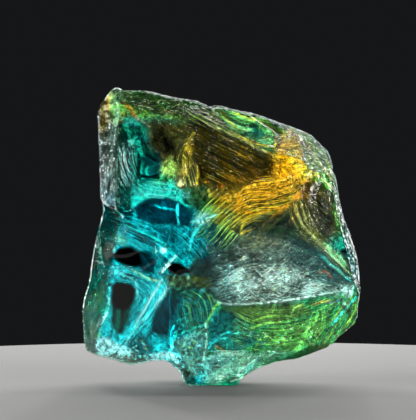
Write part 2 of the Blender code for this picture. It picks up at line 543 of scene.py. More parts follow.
PATCHES_THROUGH = (
    Patch("sea_ground", Hue.SEA_GREEN, ((60, 60), (380, 60), (380, 400), (60, 400)), 2, 1, Side.THROUGH),
    Patch("brown_top", Hue.BROWN, ((140, 122), (200, 122), (262, 150), (300, 184), (342, 200), (342, 225),
           (318, 246), (262, 228), (215, 216), (186, 200), (160, 160)), 5, 0.9, Side.THROUGH),
    Patch("moss_top", Hue.LEAF, ((104, 86), (160, 90), (262, 112), (330, 146), (340, 200), (300, 180),
           (262, 148), (200, 120), (120, 118)), 4, 0.9, Side.THROUGH),
    Patch("amber_through", Hue.GOLD, ((268, 180), (275, 136), (304, 134), (308, 190), (270, 216),
           (234, 232), (208, 222), (220, 198), (248, 186)), 5, 0.9, Side.THROUGH),
    Patch("teal_low", Hue.CYAN, ((100, 186), (190, 205), (215, 240), (212, 300), (205, 385), (78, 372),
           (78, 250)), 6, 0.9, Side.THROUGH),
    Patch("ear_through", Hue.GOLD, ((90, 92), (112, 92), (111, 120), (107, 140), (90, 140)), 3, 0.9,
          Side.THROUGH),
    Patch("grey_middle", Hue.PEWTER, ((206, 240), (240, 224), (290, 206), (356, 280), (335, 292),
           (277, 302), (219, 302), (186, 268)), 4, 0.85, Side.THROUGH),
    Patch("teal_right_through", Hue.SEA_GREEN, ((296, 234), (322, 246), (352, 276), (350, 290), (318, 282),
           (298, 262)), 5, 0.7, Side.THROUGH),
    Patch("bevel_through", Hue.ICE, ((90, 130), (119, 130), (120, 204), (94, 206)), 3, 0.75, Side.THROUGH),
    Patch("column_through", Hue.PALE_CYAN, ((117, 140), (132, 140), (135, 192), (117, 192)), 4, 0.7,
          Side.THROUGH),
    Patch("green_low", Hue.GREEN, ((219, 302), (277, 303), (358, 286), (360, 330), (300, 362), (240, 380),
           (205, 384), (206, 325)), 4, 0.85, Side.THROUGH),
)

MARKS = (
    Patch("silver_ground", Hue.SMOKE, ((206, 240), (240, 224), (290, 206), (356, 280), (335, 292),
           (277, 302), (219, 302), (186, 268)), 4, 0.85),

    # The left bevel and the corner
    Patch("clear_strip", Hue.SILVER, ((98, 122), (117, 122), (118, 196), (100, 198)), 2.5, 0.95),
    Patch("golden_ear", Hue.GOLD, ((93, 97), (110, 94), (111, 118), (107, 137), (93, 136)), 2, 1.0),
    Patch("pale_ear", Hue.LEAF, ((109, 100), (118, 101), (118, 126), (111, 128)), 2, 0.8),
    Patch("ear_tip", Hue.SAGE, ((106, 92), (116, 86), (124, 96), (118, 104), (106, 102)), 2, 0.8),
    Patch("cyan_under_bevel", Hue.CYAN, ((99, 196), (118, 190), (121, 228), (94, 230)), 3),
    # Painted highlights: the bevel's glint, its pale ridge line and its white feather lines.
    Streak("bevel_glint", Hue.ICE, ((102, 184), (104, 198), (105, 204)), 2.4),
    Streak("bevel_ridge", Hue.SAGE, ((117, 100), (119, 130), (119, 170), (118, 228)), 2.4, 0.9),
    Patch("bevel_gap", Hue.PEWTER, ((103, 132), (108, 128), (110, 152), (104, 160)), 2.0, 0.8),
    Patch("bevel_gap_low", Hue.PEWTER, ((108, 168), (115, 160), (116, 186), (109, 194)), 2.0, 0.8),
    Streak("bevel_line_a", Hue.ICE, ((100, 136), (101, 158), (102, 180)), 2.6, 1.0),
    Streak("bevel_line_e", Hue.ICE, ((104, 186), (110, 174), (116, 166)), 2.4, 1.0),
    Streak("bevel_line_f", Hue.ICE, ((101, 150), (107, 140), (114, 132)), 2.2, 1.0),
    Streak("bevel_line_b", Hue.ICE, ((102, 176), (109, 164), (116, 156)), 1.8, 0.9),
    Streak("bevel_line_c", Hue.ICE, ((102, 160), (108, 150), (115, 142)), 1.6, 0.8),
    Streak("bevel_line_d", Hue.ICE, ((103, 194), (110, 182), (117, 172)), 1.8, 0.9),
    Patch("corner_green", Hue.MOSS, ((121, 94), (168, 96), (206, 108), (198, 122), (160, 118), (130, 108)),
          2.5, 0.9),
    Bloom("corner_leaf", Hue.LEAF, (163, 105), (9, 5), 5, 0.2, 0.8),
    Bloom("corner_leaf_right", Hue.LEAF, (196, 106), (12, 4), 25, 0.2, 0.7),
    Streak("corner_orange", Hue.ORANGE, ((121, 101), (131, 110), (139, 121)), 3.4, 0.9),
    Streak("corner_orange_end", Hue.PEACH, ((138, 118), (144, 122), (150, 127)), 1.8),
    Specks("corner_specks", (Hue.LEAF, Hue.TURQUOISE, Hue.ORANGE, Hue.LIME), ((128, 97), (185, 100),
            (182, 118), (150, 116), (132, 106)), 34, 1.3, 1.8, 20, 3),
    Specks("corner_yellow", (Hue.YELLOW, Hue.GOLD), ((119, 110), (127, 112), (126, 122), (121, 138),
            (119, 136)), 14, 1.5, 1, 0, 4),

    # The upper face, left
    Bloom("upper_teal", Hue.SEA_GREEN, (138, 130), (17, 17), 0, 0.35, 0.95),
    Bloom("upper_teal_light", Hue.BRIGHT_CYAN, (133, 122), (9, 8), 0, 0.2, 0.5),
    Bloom("upper_teal_low", Hue.CYAN, (143, 139), (7, 7), 0, 0.2, 0.6),
    Bloom("dark_core", Hue.DARK_BROWN, (160, 145), (20, 14), 10, 0.4, 0.95),
    Patch("turquoise_shelf", Hue.TURQUOISE, ((120, 150), (138, 148), (140, 178), (160, 186), (186, 188),
           (190, 200), (152, 200), (122, 212)), 4, 0.9),
    Patch("ripple_hollow", Hue.DARK_TEAL, ((140, 156), (160, 152), (162, 166), (158, 182), (143, 184),
           (137, 176)), 3, 0.9),
    Streak("hollow_arc_a", Hue.TURQUOISE, ((139, 160), (137, 172), (141, 183), (152, 186)), 1.1, 0.8),
    Streak("hollow_arc_b", Hue.SEA_GREEN, ((144, 162), (142, 172), (146, 180), (158, 182)), 1.0, 0.8),
    Streak("hollow_arc_c", Hue.SEA_GREEN, ((149, 164), (147, 171), (151, 177), (160, 178)), 1.0, 0.7),
    Streak("bead", Hue.PALE_CYAN, ((121, 141), (125, 142), (128, 141)), 2.4),
    Patch("column_ground", Hue.PALE_CYAN, ((121, 147), (131, 147), (132, 186), (121, 186)), 1.5, 0.75),
    # Painted glints: the white specks and lines of the column of ripples.
    Specks("column_of_ripples", (Hue.ICE, Hue.PALE_CYAN, Hue.DARK_TEAL), ((122, 148), (130, 148),
            (131, 186), (121, 184)), 60, 1.4, 2.6, 100, 5),
    Streak("column_line_a", Hue.ICE, ((123, 150), (124, 166), (123, 184)), 1.8, 0.8),
    Streak("column_line_b", Hue.PALE_CYAN, ((129, 150), (130, 168), (129, 186)), 1.8, 0.8),
    Streak("column_glint", Hue.ICE, ((127, 156), (126, 162), (126, 168)), 1.8),
    Bloom("green_lobe", Hue.LIME, (171, 168), (11, 15), 25, 0.3, 0.9),
    Bloom("green_lobe_low", Hue.GREEN, (164, 180), (14, 7), -20, 0.2, 0.8),
    Bloom("lobe_glint", Hue.PALE_GOLD, (181, 182), (4, 5), 0, 0.2, 0.9),

    # The dark centre
    Patch("dark_centre", Hue.DARK_BROWN, ((186, 118), (208, 120), (262, 146), (256, 178), (232, 184),
           (204, 190), (190, 176), (186, 150)), 5, 0.9),
    Bloom("amber_lobe", Hue.AMBER, (187, 158), (8, 24), 12, 0.2, 0.95),
    Streak("amber_lobe_streak", Hue.GOLD, ((193, 132), (187, 146), (185, 160), (187, 175)), 2.2),
    Streak("amber_lobe_tail", Hue.GOLD, ((194, 162), (198, 172), (197, 186)), 1.2),
    Specks("centre_specks", (Hue.PALE_GOLD, Hue.OLIVE, Hue.GOLD), ((196, 124), (258, 146), (250, 176),
            (200, 178)), 40, 0.9, 1.6, 22, 6),
    Specks("red_specks", (Hue.RED, Hue.ORANGE, Hue.YELLOW), ((203, 178), (226, 180), (224, 190),
            (206, 188)), 12, 1.1, 1.2, 0, 7),
    Patch("green_below_centre", Hue.DARK_GREEN, ((184, 184), (212, 186), (206, 210), (192, 218),
           (180, 204)), 4, 0.8),
    Specks("yellow_below_centre", (Hue.YELLOW, Hue.LIME), ((206, 188), (216, 188), (213, 202), (208, 202)),
           9, 1.3, 1.6, 90, 8),

    Patch("swirl_ground", Hue.BROWN, ((262, 178), (300, 176), (302, 190), (284, 206), (256, 212),
           (240, 224), (226, 222), (236, 204), (224, 196), (244, 186)), 4, 0.5),
    Patch("swirl_tail", Hue.DARK_GREEN, ((200, 196), (232, 198), (240, 222), (222, 242), (202, 232),
           (194, 214)), 4, 0.75),
    Streak("swirl_bright_a", Hue.YELLOW, ((298, 168), (284, 178), (262, 182), (244, 188), (228, 200)), 2.4,
           0.9),
    Streak("swirl_bright_b", Hue.GOLD, ((294, 194), (276, 204), (258, 208), (246, 218), (240, 230)), 2.6,
           0.9),
    Streak("swirl_dark", Hue.DARK_BROWN, ((296, 190), (282, 194), (266, 200), (252, 204)), 1.6, 0.9),

    # The emerald window and its frame
    Patch("olive_above_window", Hue.OLIVE, ((196, 104), (214, 108), (232, 131), (222, 128), (198, 114)), 2,
          0.8),
    Patch("emerald_window", Hue.EMERALD, ((212, 106), (228, 110), (256, 119), (275, 133), (274, 147),
           (258, 143), (232, 131)), 1.6, 1.0),
    Bloom("window_core", Hue.TURQUOISE, (257, 131), (13, 9), 25, 0.35, 0.8),
    Bloom("window_dark", Hue.TEAL, (262, 129), (6, 5), 25, 0.2, 0.6),
    Bloom("window_left", Hue.LIME, (226, 115), (9, 6), 30, 0.3, 0.6),
    Streak("window_gold", Hue.GOLD, ((214, 107), (226, 118), (238, 131)), 3.0, 0.6),
    Streak("window_top_line", Hue.YELLOW, ((232, 112), (246, 117), (262, 123), (275, 134), (275, 146)), 2.2,
           0.8),
    Streak("window_low_line", Hue.YELLOW, ((230, 131), (246, 139), (262, 145), (274, 147)), 2.2, 0.9),
    Streak("window_inner_line", Hue.LEAF, ((236, 118), (250, 123), (264, 131), (268, 141)), 1.8, 0.7),
    Streak("window_curl", Hue.PALE_GOLD, ((262, 140), (266, 136), (268, 138)), 0.9, 0.7),
    Patch("strip_below_window", Hue.SEA_GREEN, ((248, 143), (270, 149), (268, 155), (258, 151)), 1.2, 0.7),
    Streak("gold_line_below_window", Hue.PALE_GOLD, ((198, 118), (226, 132), (252, 145), (272, 156)), 1.3,
           0.9),

    # The amber mass and the shoulder
    Patch("olive_gable", Hue.DARK_OLIVE, ((258, 120), (276, 124), (290, 140), (284, 152), (276, 140)), 2.5,
          0.8),
    Bloom("amber_mass", Hue.AMBER, (290, 156), (17, 30), -8, 0.5, 0.95),
    Bloom("amber_core", Hue.YELLOW, (294, 160), (10, 22), -10, 0.2, 0.7),
    Bloom("amber_dark", Hue.BROWN, (281, 160), (7, 5), 0, 0.2, 0.7),
    Specks("amber_sparkle", (Hue.PALE_GOLD, Hue.YELLOW), ((278, 136), (304, 138), (306, 176), (282, 184)),
           26, 1.2, 1.6, 65, 29),
    Streak("amber_glint_a", Hue.ICE, ((288, 150), (287, 156)), 1.5),
    Streak("amber_glint_b", Hue.ICE, ((304, 152), (303, 159)), 1.5),
    Bloom("amber_glint_c", Hue.ICE, (289, 176), (2.6, 2.6), 0, 0.2),
    Bloom("amber_glint_d", Hue.ICE, (289, 137), (3.2, 3.0), 0, 0.2),
    Bloom("amber_glint_e", Hue.ICE, (299, 164), (2.4, 2.4), 0, 0.2),
    Patch("amber_pocket", Hue.DARK_BROWN, ((252, 156), (270, 150), (277, 168), (272, 178), (256, 180)), 4.0,
          0.8),
    Patch("shoulder_green", Hue.LEAF, ((296, 128), (314, 138), (330, 152), (334, 188), (318, 178),
           (306, 160)), 3, 0.9),
    Streak("shoulder_olive", Hue.OLIVE, ((304, 150), (318, 160), (334, 182)), 5.0, 0.8),
    Patch("shoulder_deep", Hue.GREEN, ((312, 134), (326, 146), (334, 162), (330, 170), (316, 150)), 2, 0.8),
    Streak("shoulder_gold_a", Hue.YELLOW, ((280, 124), (300, 138), (318, 160), (330, 180)), 1.8, 0.8),
    Streak("shoulder_gold_b", Hue.YELLOW, ((310, 142), (322, 154), (332, 172)), 1.8, 0.6),
    Streak("shoulder_pink", Hue.PINK, ((270, 121), (284, 127), (296, 137), (306, 148)), 3.0, 1.0),
    Bloom("shoulder_glint", Hue.ICE, (300, 137), (5, 3.8), 40, 0.35),
    Streak("shoulder_peach", Hue.PALE_GOLD, ((304, 146), (314, 156), (326, 170)), 2.0, 0.8),
    Specks("shoulder_emerald", (Hue.EMERALD, Hue.TURQUOISE, Hue.DARK_GREEN), ((308, 152), (318, 162),
            (330, 184), (318, 180), (308, 162)), 46, 1.7, 1.6, 50, 10),
    Streak("shoulder_line", Hue.PALE_GOLD, ((306, 168), (318, 177), (332, 189)), 1.3, 0.9),
    # Painted glint: a white spot low on the shoulder.
    Bloom("shoulder_spot", Hue.ICE, (308, 175), (5, 3.4), 35, 0.25, 0.9),

    # The right face and its ridge
    Patch("right_dark", Hue.DARK_OLIVE, ((297, 186), (312, 178), (332, 192), (334, 228), (322, 236),
           (304, 214)), 3, 0.9),
    Patch("right_rim", Hue.LEAF, ((331, 190), (336, 192), (342, 232), (335, 236)), 1.8, 0.7),
    Specks("right_streaks", (Hue.PALE_GOLD, Hue.GOLD, Hue.SILVER), ((300, 200), (330, 212), (344, 240),
            (330, 236), (306, 216)), 16, 0.8, 4.0, 22, 11),
    Patch("ridge_gold", Hue.OLIVE, ((290, 198), (298, 200), (322, 238), (350, 270), (344, 272), (312, 244),
           (292, 222)), 1.8, 0.85),
    # Painted highlight: the pale line along the ridge.
    Streak("ridge_line", Hue.PALE_GOLD, ((294, 204), (300, 222), (318, 241), (350, 274)), 1.4, 0.9),
    Patch("ridge_emerald", Hue.EMERALD, ((320, 240), (330, 242), (346, 264), (344, 268), (332, 256)), 1.4,
          0.9),
    Patch("ridge_brown", Hue.SMOKE, ((336, 246), (344, 250), (354, 272), (346, 268)), 2, 0.8),
    Streak("right_edge_cyan", Hue.CYAN, ((344, 238), (350, 258), (357, 280)), 2.4, 0.8),

    # The silver face
    Patch("silver_teal_left", Hue.DARK_TEAL, ((192, 232), (228, 226), (232, 244), (206, 262), (190, 250)),
          4, 0.85),
    Patch("silver_green_top", Hue.DARK_GREEN, ((268, 224), (298, 226), (316, 250), (286, 244)), 4, 0.8),
    Patch("silver_cyan_right", Hue.DARK_TEAL, ((280, 232), (318, 244), (352, 276), (350, 288), (322, 282),
           (292, 262)), 5, 0.95),
    Bloom("silver_dark_right", Hue.DARK_TEAL, (337, 277), (11, 7), 25, 0.3, 0.9),
    Streak("silver_cyan_line", Hue.BRIGHT_CYAN, ((318, 254), (334, 266), (350, 280)), 2.0, 0.8),
    # Painted sheen: the bright reflection on the silver face, with its glints.
    Bloom("silver_bright_left", Hue.SILVER, (240, 278), (20, 17), 20, 0.25, 0.9),
    Bloom("silver_bright_middle", Hue.SILVER, (280, 276), (26, 12), -15, 0.25, 0.9),
    Bloom("silver_bright_right", Hue.ICE, (310, 287), (14, 9), -30, 0.25, 0.9),
    Bloom("silver_glint", Hue.ICE, (252, 282), (9, 5), 30, 0.3, 0.9),
    Bloom("silver_tip", Hue.ICE, (347, 290), (8, 9), -30, 0.25, 0.8),
    # Painted sparkle: the white specks on the silver face, among flecks of other colours.
    Specks("silver_specks", (Hue.ICE, Hue.SILVER, Hue.PEACH, Hue.DARK_TEAL), ((212, 250), (262, 240),
            (330, 278), (330, 292), (270, 300), (222, 298)), 150, 1.0, 2.6, 38, 12),
    Specks("silver_cross", (Hue.ICE, Hue.SILVER, Hue.PALE_GOLD), ((222, 262), (300, 262), (320, 284),
            (240, 296)), 70, 0.9, 3.2, -35, 13),
    Specks("rainbow", (Hue.RED, Hue.PINK, Hue.BRIGHT_CYAN, Hue.GOLD, Hue.BLUE), ((254, 278), (290, 262),
            (292, 270), (262, 284)), 18, 1.0, 1.6, -40, 14),
    # Painted highlights along the lower and left edges of the silver face.
    Streak("silver_lower_edge", Hue.ICE, ((219, 300), (248, 301), (277, 299), (316, 294), (354, 285)), 1.4,
           0.85),
    Streak("silver_left_edge", Hue.PALE_CYAN, ((181, 264), (192, 276), (204, 288), (219, 300)), 1.3, 0.85),
    Streak("silver_red_curl", Hue.RED, ((317, 271), (325, 270), (330, 276)), 1.2, 0.8),

    # The green face and the olive corner
    Patch("green_dark", Hue.MOSS, ((222, 304), (300, 302), (312, 312), (270, 322), (236, 320)), 3, 0.75),
    Patch("green_teal", Hue.TEAL, ((210, 312), (226, 306), (246, 322), (262, 340), (234, 352), (208, 346)),
          5, 0.85),
    Streak("green_cyan_fan_a", Hue.BRIGHT_CYAN, ((208, 342), (222, 332), (240, 330)), 1.4, 0.8),
    Streak("green_cyan_fan_b", Hue.BRIGHT_CYAN, ((208, 346), (216, 338), (228, 336)), 1.2, 0.8),
    Streak("lime_a", Hue.LIME, ((252, 319), (264, 315), (276, 314)), 1.2),
    Streak("lime_b", Hue.LIME, ((250, 326), (264, 322), (280, 321)), 1.0),
    Streak("lime_c", Hue.LIME, ((292, 308), (297, 305), (302, 303)), 1.6),
    Patch("lime_ground", Hue.LEAF, ((270, 326), (300, 322), (330, 308), (322, 334), (296, 348), (268, 344)),
          5, 0.8),
    Streak("blue_streak", Hue.BLUE, ((328, 302), (335, 300), (341, 298)), 1.6),
    Streak("brown_streak", Hue.ORANGE, ((312, 304), (322, 301), (330, 300)), 2.0, 0.7),
    Patch("olive_corner", Hue.GREEN, ((338, 306), (356, 292), (360, 312), (350, 332), (322, 352),
           (312, 346), (326, 326)), 3, 0.85),
    Streak("corner_cyan_line", Hue.BRIGHT_CYAN, ((356, 296), (344, 310), (332, 324)), 1.2, 0.9),
    # Painted glint: a small white spot.
    Bloom("corner_spot", Hue.ICE, (345, 303), (3.4, 3.4), 0, 0.25),
    Specks("green_specks", (Hue.LIME, Hue.PALE_GOLD, Hue.ICE, Hue.TURQUOISE), ((240, 330), (322, 318),
            (318, 346), (262, 356)), 60, 1.2, 2.2, -12, 15),
    Patch("bottom_facets", Hue.PALE_CYAN, ((206, 356), (232, 352), (262, 356), (250, 372), (214, 382),
           (204, 378)), 4, 0.7),
    Patch("bottom_teal", Hue.TEAL, ((210, 356), (232, 352), (226, 364), (212, 370)), 2, 0.75),
    Patch("bottom_olive", Hue.MOSS, ((236, 354), (256, 354), (252, 362), (238, 366)), 2, 0.6),
    # Painted highlights: the white lines along the bottom edges, and the bottom glint.
    Streak("bottom_edge", Hue.ICE, ((208, 356), (222, 352), (240, 353)), 2.0, 0.8),
    Streak("bottom_white_a", Hue.ICE, ((236, 376), (244, 366), (254, 360)), 1.8),
    Streak("bottom_white_b", Hue.ICE, ((230, 381), (246, 376), (262, 366)), 1.6),
    Streak("bottom_cyan", Hue.CYAN, ((240, 372), (248, 366), (252, 362)), 1.8),
    Bloom("bottom_glint", Hue.ICE, (220, 376), (5, 4), 0, 0.3),
    Streak("bottom_orange", Hue.ORANGE, ((216, 344), (220, 347), (224, 350)), 1.4, 0.8),

    # The dark oval and the teal middle
    Patch("teal_middle", Hue.TEAL, ((122, 208), (150, 200), (196, 208), (216, 226), (208, 252), (180, 256),
           (150, 240), (124, 230)), 4, 0.75),
    Patch("dark_oval", Hue.DARK_TEAL, ((134, 206), (146, 198), (168, 196), (186, 203), (194, 214),
           (190, 224), (160, 223), (140, 217)), 2.4, 1.0),
    Streak("oval_line", Hue.CYAN, ((156, 205), (166, 207), (176, 209)), 1.2, 0.9),
    Streak("oval_upright", Hue.BRIGHT_CYAN, ((178, 203), (178, 212), (179, 222)), 1.8),
    # A painted starburst of light: the green and white glow and its bright rays.
    Bloom("green_burst", Hue.LEAF, (208, 212), (14, 10), -20, 0.2, 0.6),
    Bloom("cyan_burst", Hue.ICE, (203, 217), (10, 7), -20, 0.25, 0.9),
    Streak("burst_line", Hue.PALE_CYAN, ((192, 220), (204, 217), (216, 213)), 1.8, 0.8),
    Streak("burst_line_b", Hue.SAGE, ((199, 209), (205, 217), (209, 224)), 1.7, 0.6),
    Streak("burst_line_c", Hue.BRIGHT_CYAN, ((204, 218), (194, 232), (190, 248)), 2.4, 0.8),
    Streak("branch_line", Hue.TURQUOISE, ((175, 190), (180, 200), (190, 206)), 1.2, 0.8),
    # Painted shade under and beside the ridge, and a painted highlight along it.
    Patch("dark_under_ridge", Hue.DARK_TEAL, ((134, 230), (146, 229), (160, 238), (158, 246), (146, 240)),
          2, 0.85),
    Streak("teal_ridge_line", Hue.TURQUOISE, ((124, 222), (150, 232), (168, 246), (182, 262)), 1.6, 0.8),
    Patch("dark_by_ridge", Hue.DARK_TEAL, ((156, 226), (178, 228), (176, 242), (166, 240)), 2.5, 0.75),

    # The lower left windows: the black windows, and the dark teal beside the upper one, are painted shade
    Patch("upper_window_right", Hue.DARK_TEAL, ((138, 248), (152, 249), (158, 256), (155, 270), (144, 269),
           (138, 264)), 3.0, 0.97),
    Patch("upper_window", Hue.BLACK, ((121, 245), (134, 244), (141, 249), (143, 262), (137, 266),
           (124, 263), (114, 257), (115, 250)), 1.8, 1.0),
    Patch("lower_window_green", Hue.DEEP_GREEN, ((111, 296), (134, 294), (131, 314), (125, 332), (117, 334),
           (111, 320)), 3.5, 1.0),
    Patch("lower_window", Hue.BLACK, ((113, 282), (121, 279), (132, 281), (137, 287), (135, 300),
           (127, 309), (116, 307), (112, 296)), 2.2, 1.0),
    Patch("brown_below_eye", Hue.BROWN, ((168, 271), (186, 270), (206, 275), (212, 284), (188, 287),
           (170, 285)), 2, 0.9),
    # Painted shade: a small black window.
    Patch("black_eye", Hue.BLACK, ((169, 264), (173, 258), (181, 259), (192, 269), (180, 272), (171, 269)),
          1.3, 1.0),
    # Painted highlights: the white blob, the white marks by the ridge and the pale lines along the ledges.
    Bloom("white_blob", Hue.ICE, (110, 249), (7, 12), 20, 0.6, 1.0),
    Bloom("white_by_ridge", Hue.ICE, (164, 248), (4.4, 4.4), 0, 0.35),
    Streak("white_by_ridge_b", Hue.ICE, ((171, 258), (174, 255), (177, 252)), 1.6),
    Bloom("grey_above_window", Hue.SAGE, (120, 237), (14, 7), 25, 0.2, 0.7),
    Streak("ledge_light", Hue.PALE_CYAN, ((98, 271), (110, 270), (124, 272), (136, 280), (138, 296)), 1.6,
           0.9),
    Streak("ledge_edge", Hue.PALE_GOLD, ((132, 268), (152, 276), (172, 283)), 1.1, 0.9),
    Patch("diagonal_band", Hue.BRIGHT_CYAN, ((158, 276), (172, 283), (146, 322), (128, 345), (118, 345),
           (140, 312)), 4, 0.75),
    # Painted highlights: the white lines where the band's facets catch the light.
    Streak("band_line_a", Hue.ICE, ((163, 276), (136, 323)), 2.4),
    Streak("band_line_b", Hue.ICE, ((170, 282), (155, 306)), 3.0),
    Streak("band_line_c", Hue.PALE_CYAN, ((152, 308), (124, 343)), 2.0, 0.9),
    Patch("left_flank", Hue.BRIGHT_CYAN, ((72, 228), (100, 232), (106, 300), (100, 340), (72, 350)), 3,
          0.85, Side.THROUGH),
    Patch("lip_under", Hue.PALE_CYAN, ((76, 340), (104, 352), (124, 357), (146, 353), (166, 347),
           (180, 354), (190, 376), (182, 386), (160, 368), (124, 372), (76, 360)), 2, 0.9, Side.THROUGH),
    Patch("strip_ground", Hue.TURQUOISE, ((78, 232), (104, 236), (109, 300), (102, 334), (78, 340)), 3,
          0.9),
    Specks("strip_green", (Hue.LIME, Hue.LEAF), ((95, 288), (106, 290), (103, 306), (95, 304)), 14, 1.3,
           1.4, 90, 16),
    # Painted glints and highlights: the white specks and lines of the left flank and strip, and the white
    # beads and specks by the ledges.
    Specks("flank_specks", (Hue.ICE, Hue.DARK_TEAL, Hue.LIME, Hue.DARK_TEAL), ((76, 236), (104, 240),
            (106, 300), (98, 346), (78, 350)), 90, 1.7, 2.2, 100, 23, Side.THROUGH),
    Streak("flank_line_a", Hue.ICE, ((92, 250), (86, 284), (84, 320), (86, 346)), 2.4, 0.9, Side.THROUGH),
    Streak("flank_line_b", Hue.ICE, ((98, 300), (92, 322), (92, 344)), 2.2, 0.9, Side.THROUGH),
    Bloom("strip_blue", Hue.BLUE, (94, 314), (3, 6), 15, 0.2, 0.7),
    Streak("strip_white", Hue.ICE, ((108, 310), (101, 322), (93, 333)), 2.6, 1.0, Side.THROUGH),
    Streak("strip_edge", Hue.PALE_CYAN, ((84, 300), (84, 330), (86, 350)), 2.0, 0.9),
    Specks("ledge_beads", (Hue.ICE, Hue.PALE_CYAN), ((108, 284), (112, 284), (110, 310), (107, 308)), 16,
           1.3, 1, 0, 17),
    Specks("low_left_specks", (Hue.ICE, Hue.PALE_CYAN, Hue.BRIGHT_CYAN), ((90, 262), (112, 262), (108, 282),
            (90, 300)), 40, 1.0, 1.8, 100, 18),
    Patch("bottom_lip", Hue.ICE, ((84, 336), (110, 338), (134, 350), (136, 364), (112, 360), (88, 352)), 3,
          0.85),
    Streak("lip_swirl", Hue.TEAL, ((94, 342), (102, 340), (108, 345), (106, 350)), 1.6, 0.8),
    Streak("lip_band", Hue.ICE, ((84, 344), (98, 356), (122, 363), (146, 360), (166, 352), (178, 360),
            (188, 378)), 5.0, 0.95),
    Streak("lip_white", Hue.ICE, ((86, 346), (104, 355), (124, 361), (140, 362)), 2.6),
    Streak("lip_white_b", Hue.ICE, ((92, 338), (106, 342), (116, 350)), 1.6),
    Bloom("blob_cyan", Hue.BRIGHT_CYAN, (160, 345), (11, 6), 0, 0.35, 0.95),
    Patch("grey_by_blob", Hue.SMOKE, ((126, 340), (148, 330), (152, 348), (136, 354)), 3, 0.7),
    Specks("low_gold", (Hue.PALE_GOLD, Hue.PEACH, Hue.ICE), ((128, 340), (150, 336), (148, 356),
            (130, 352)), 24, 1.2, 1.4, 0, 19),

    # The teal face, the notch and the foot
    Patch("teal_face_dark", Hue.DARK_TEAL, ((170, 286), (184, 292), (168, 334), (150, 330), (152, 314)), 3,
          0.95),
    Patch("teal_face_top", Hue.DEEP_GREEN, ((166, 281), (186, 280), (212, 286), (216, 298), (186, 294),
           (170, 292)), 2.5, 0.85),
    Patch("teal_face_green", Hue.DEEP_GREEN, ((184, 286), (216, 292), (216, 304), (204, 330), (172, 334),
           (176, 310)), 3.5, 0.85),
    Streak("teal_face_edge", Hue.LEAF, ((219, 299), (212, 308), (207, 322)), 1.8, 0.9),
    Streak("foot_top_line", Hue.TURQUOISE, ((172, 334), (188, 328), (205, 322)), 1.2, 0.8),
    Patch("foot_grey", Hue.PEWTER, ((174, 338), (204, 326), (206, 350), (200, 376), (188, 378), (180, 352)),
          2.5, 0.85),
    Specks("foot_gold", (Hue.YELLOW, Hue.PALE_GOLD, Hue.GOLD), ((182, 340), (200, 336), (202, 370),
            (188, 372)), 24, 1.0, 1.5, -20, 20),
    # Painted highlights: the pale line on the foot's ridge, the foot's glint and the white lines of the notch.
    Streak("foot_ridge", Hue.PEACH, ((206, 320), (206, 340), (203, 364)), 1.6, 0.9),
    Bloom("foot_glint", Hue.ICE, (198, 342), (3.2, 2.2), 20, 0.3),
    Streak("notch_white", Hue.ICE, ((150, 352), (166, 353), (178, 362), (186, 378)), 2.6, 0.9),
    Streak("notch_side", Hue.PALE_CYAN, ((172, 342), (178, 356), (186, 370)), 2.0, 0.9),
)

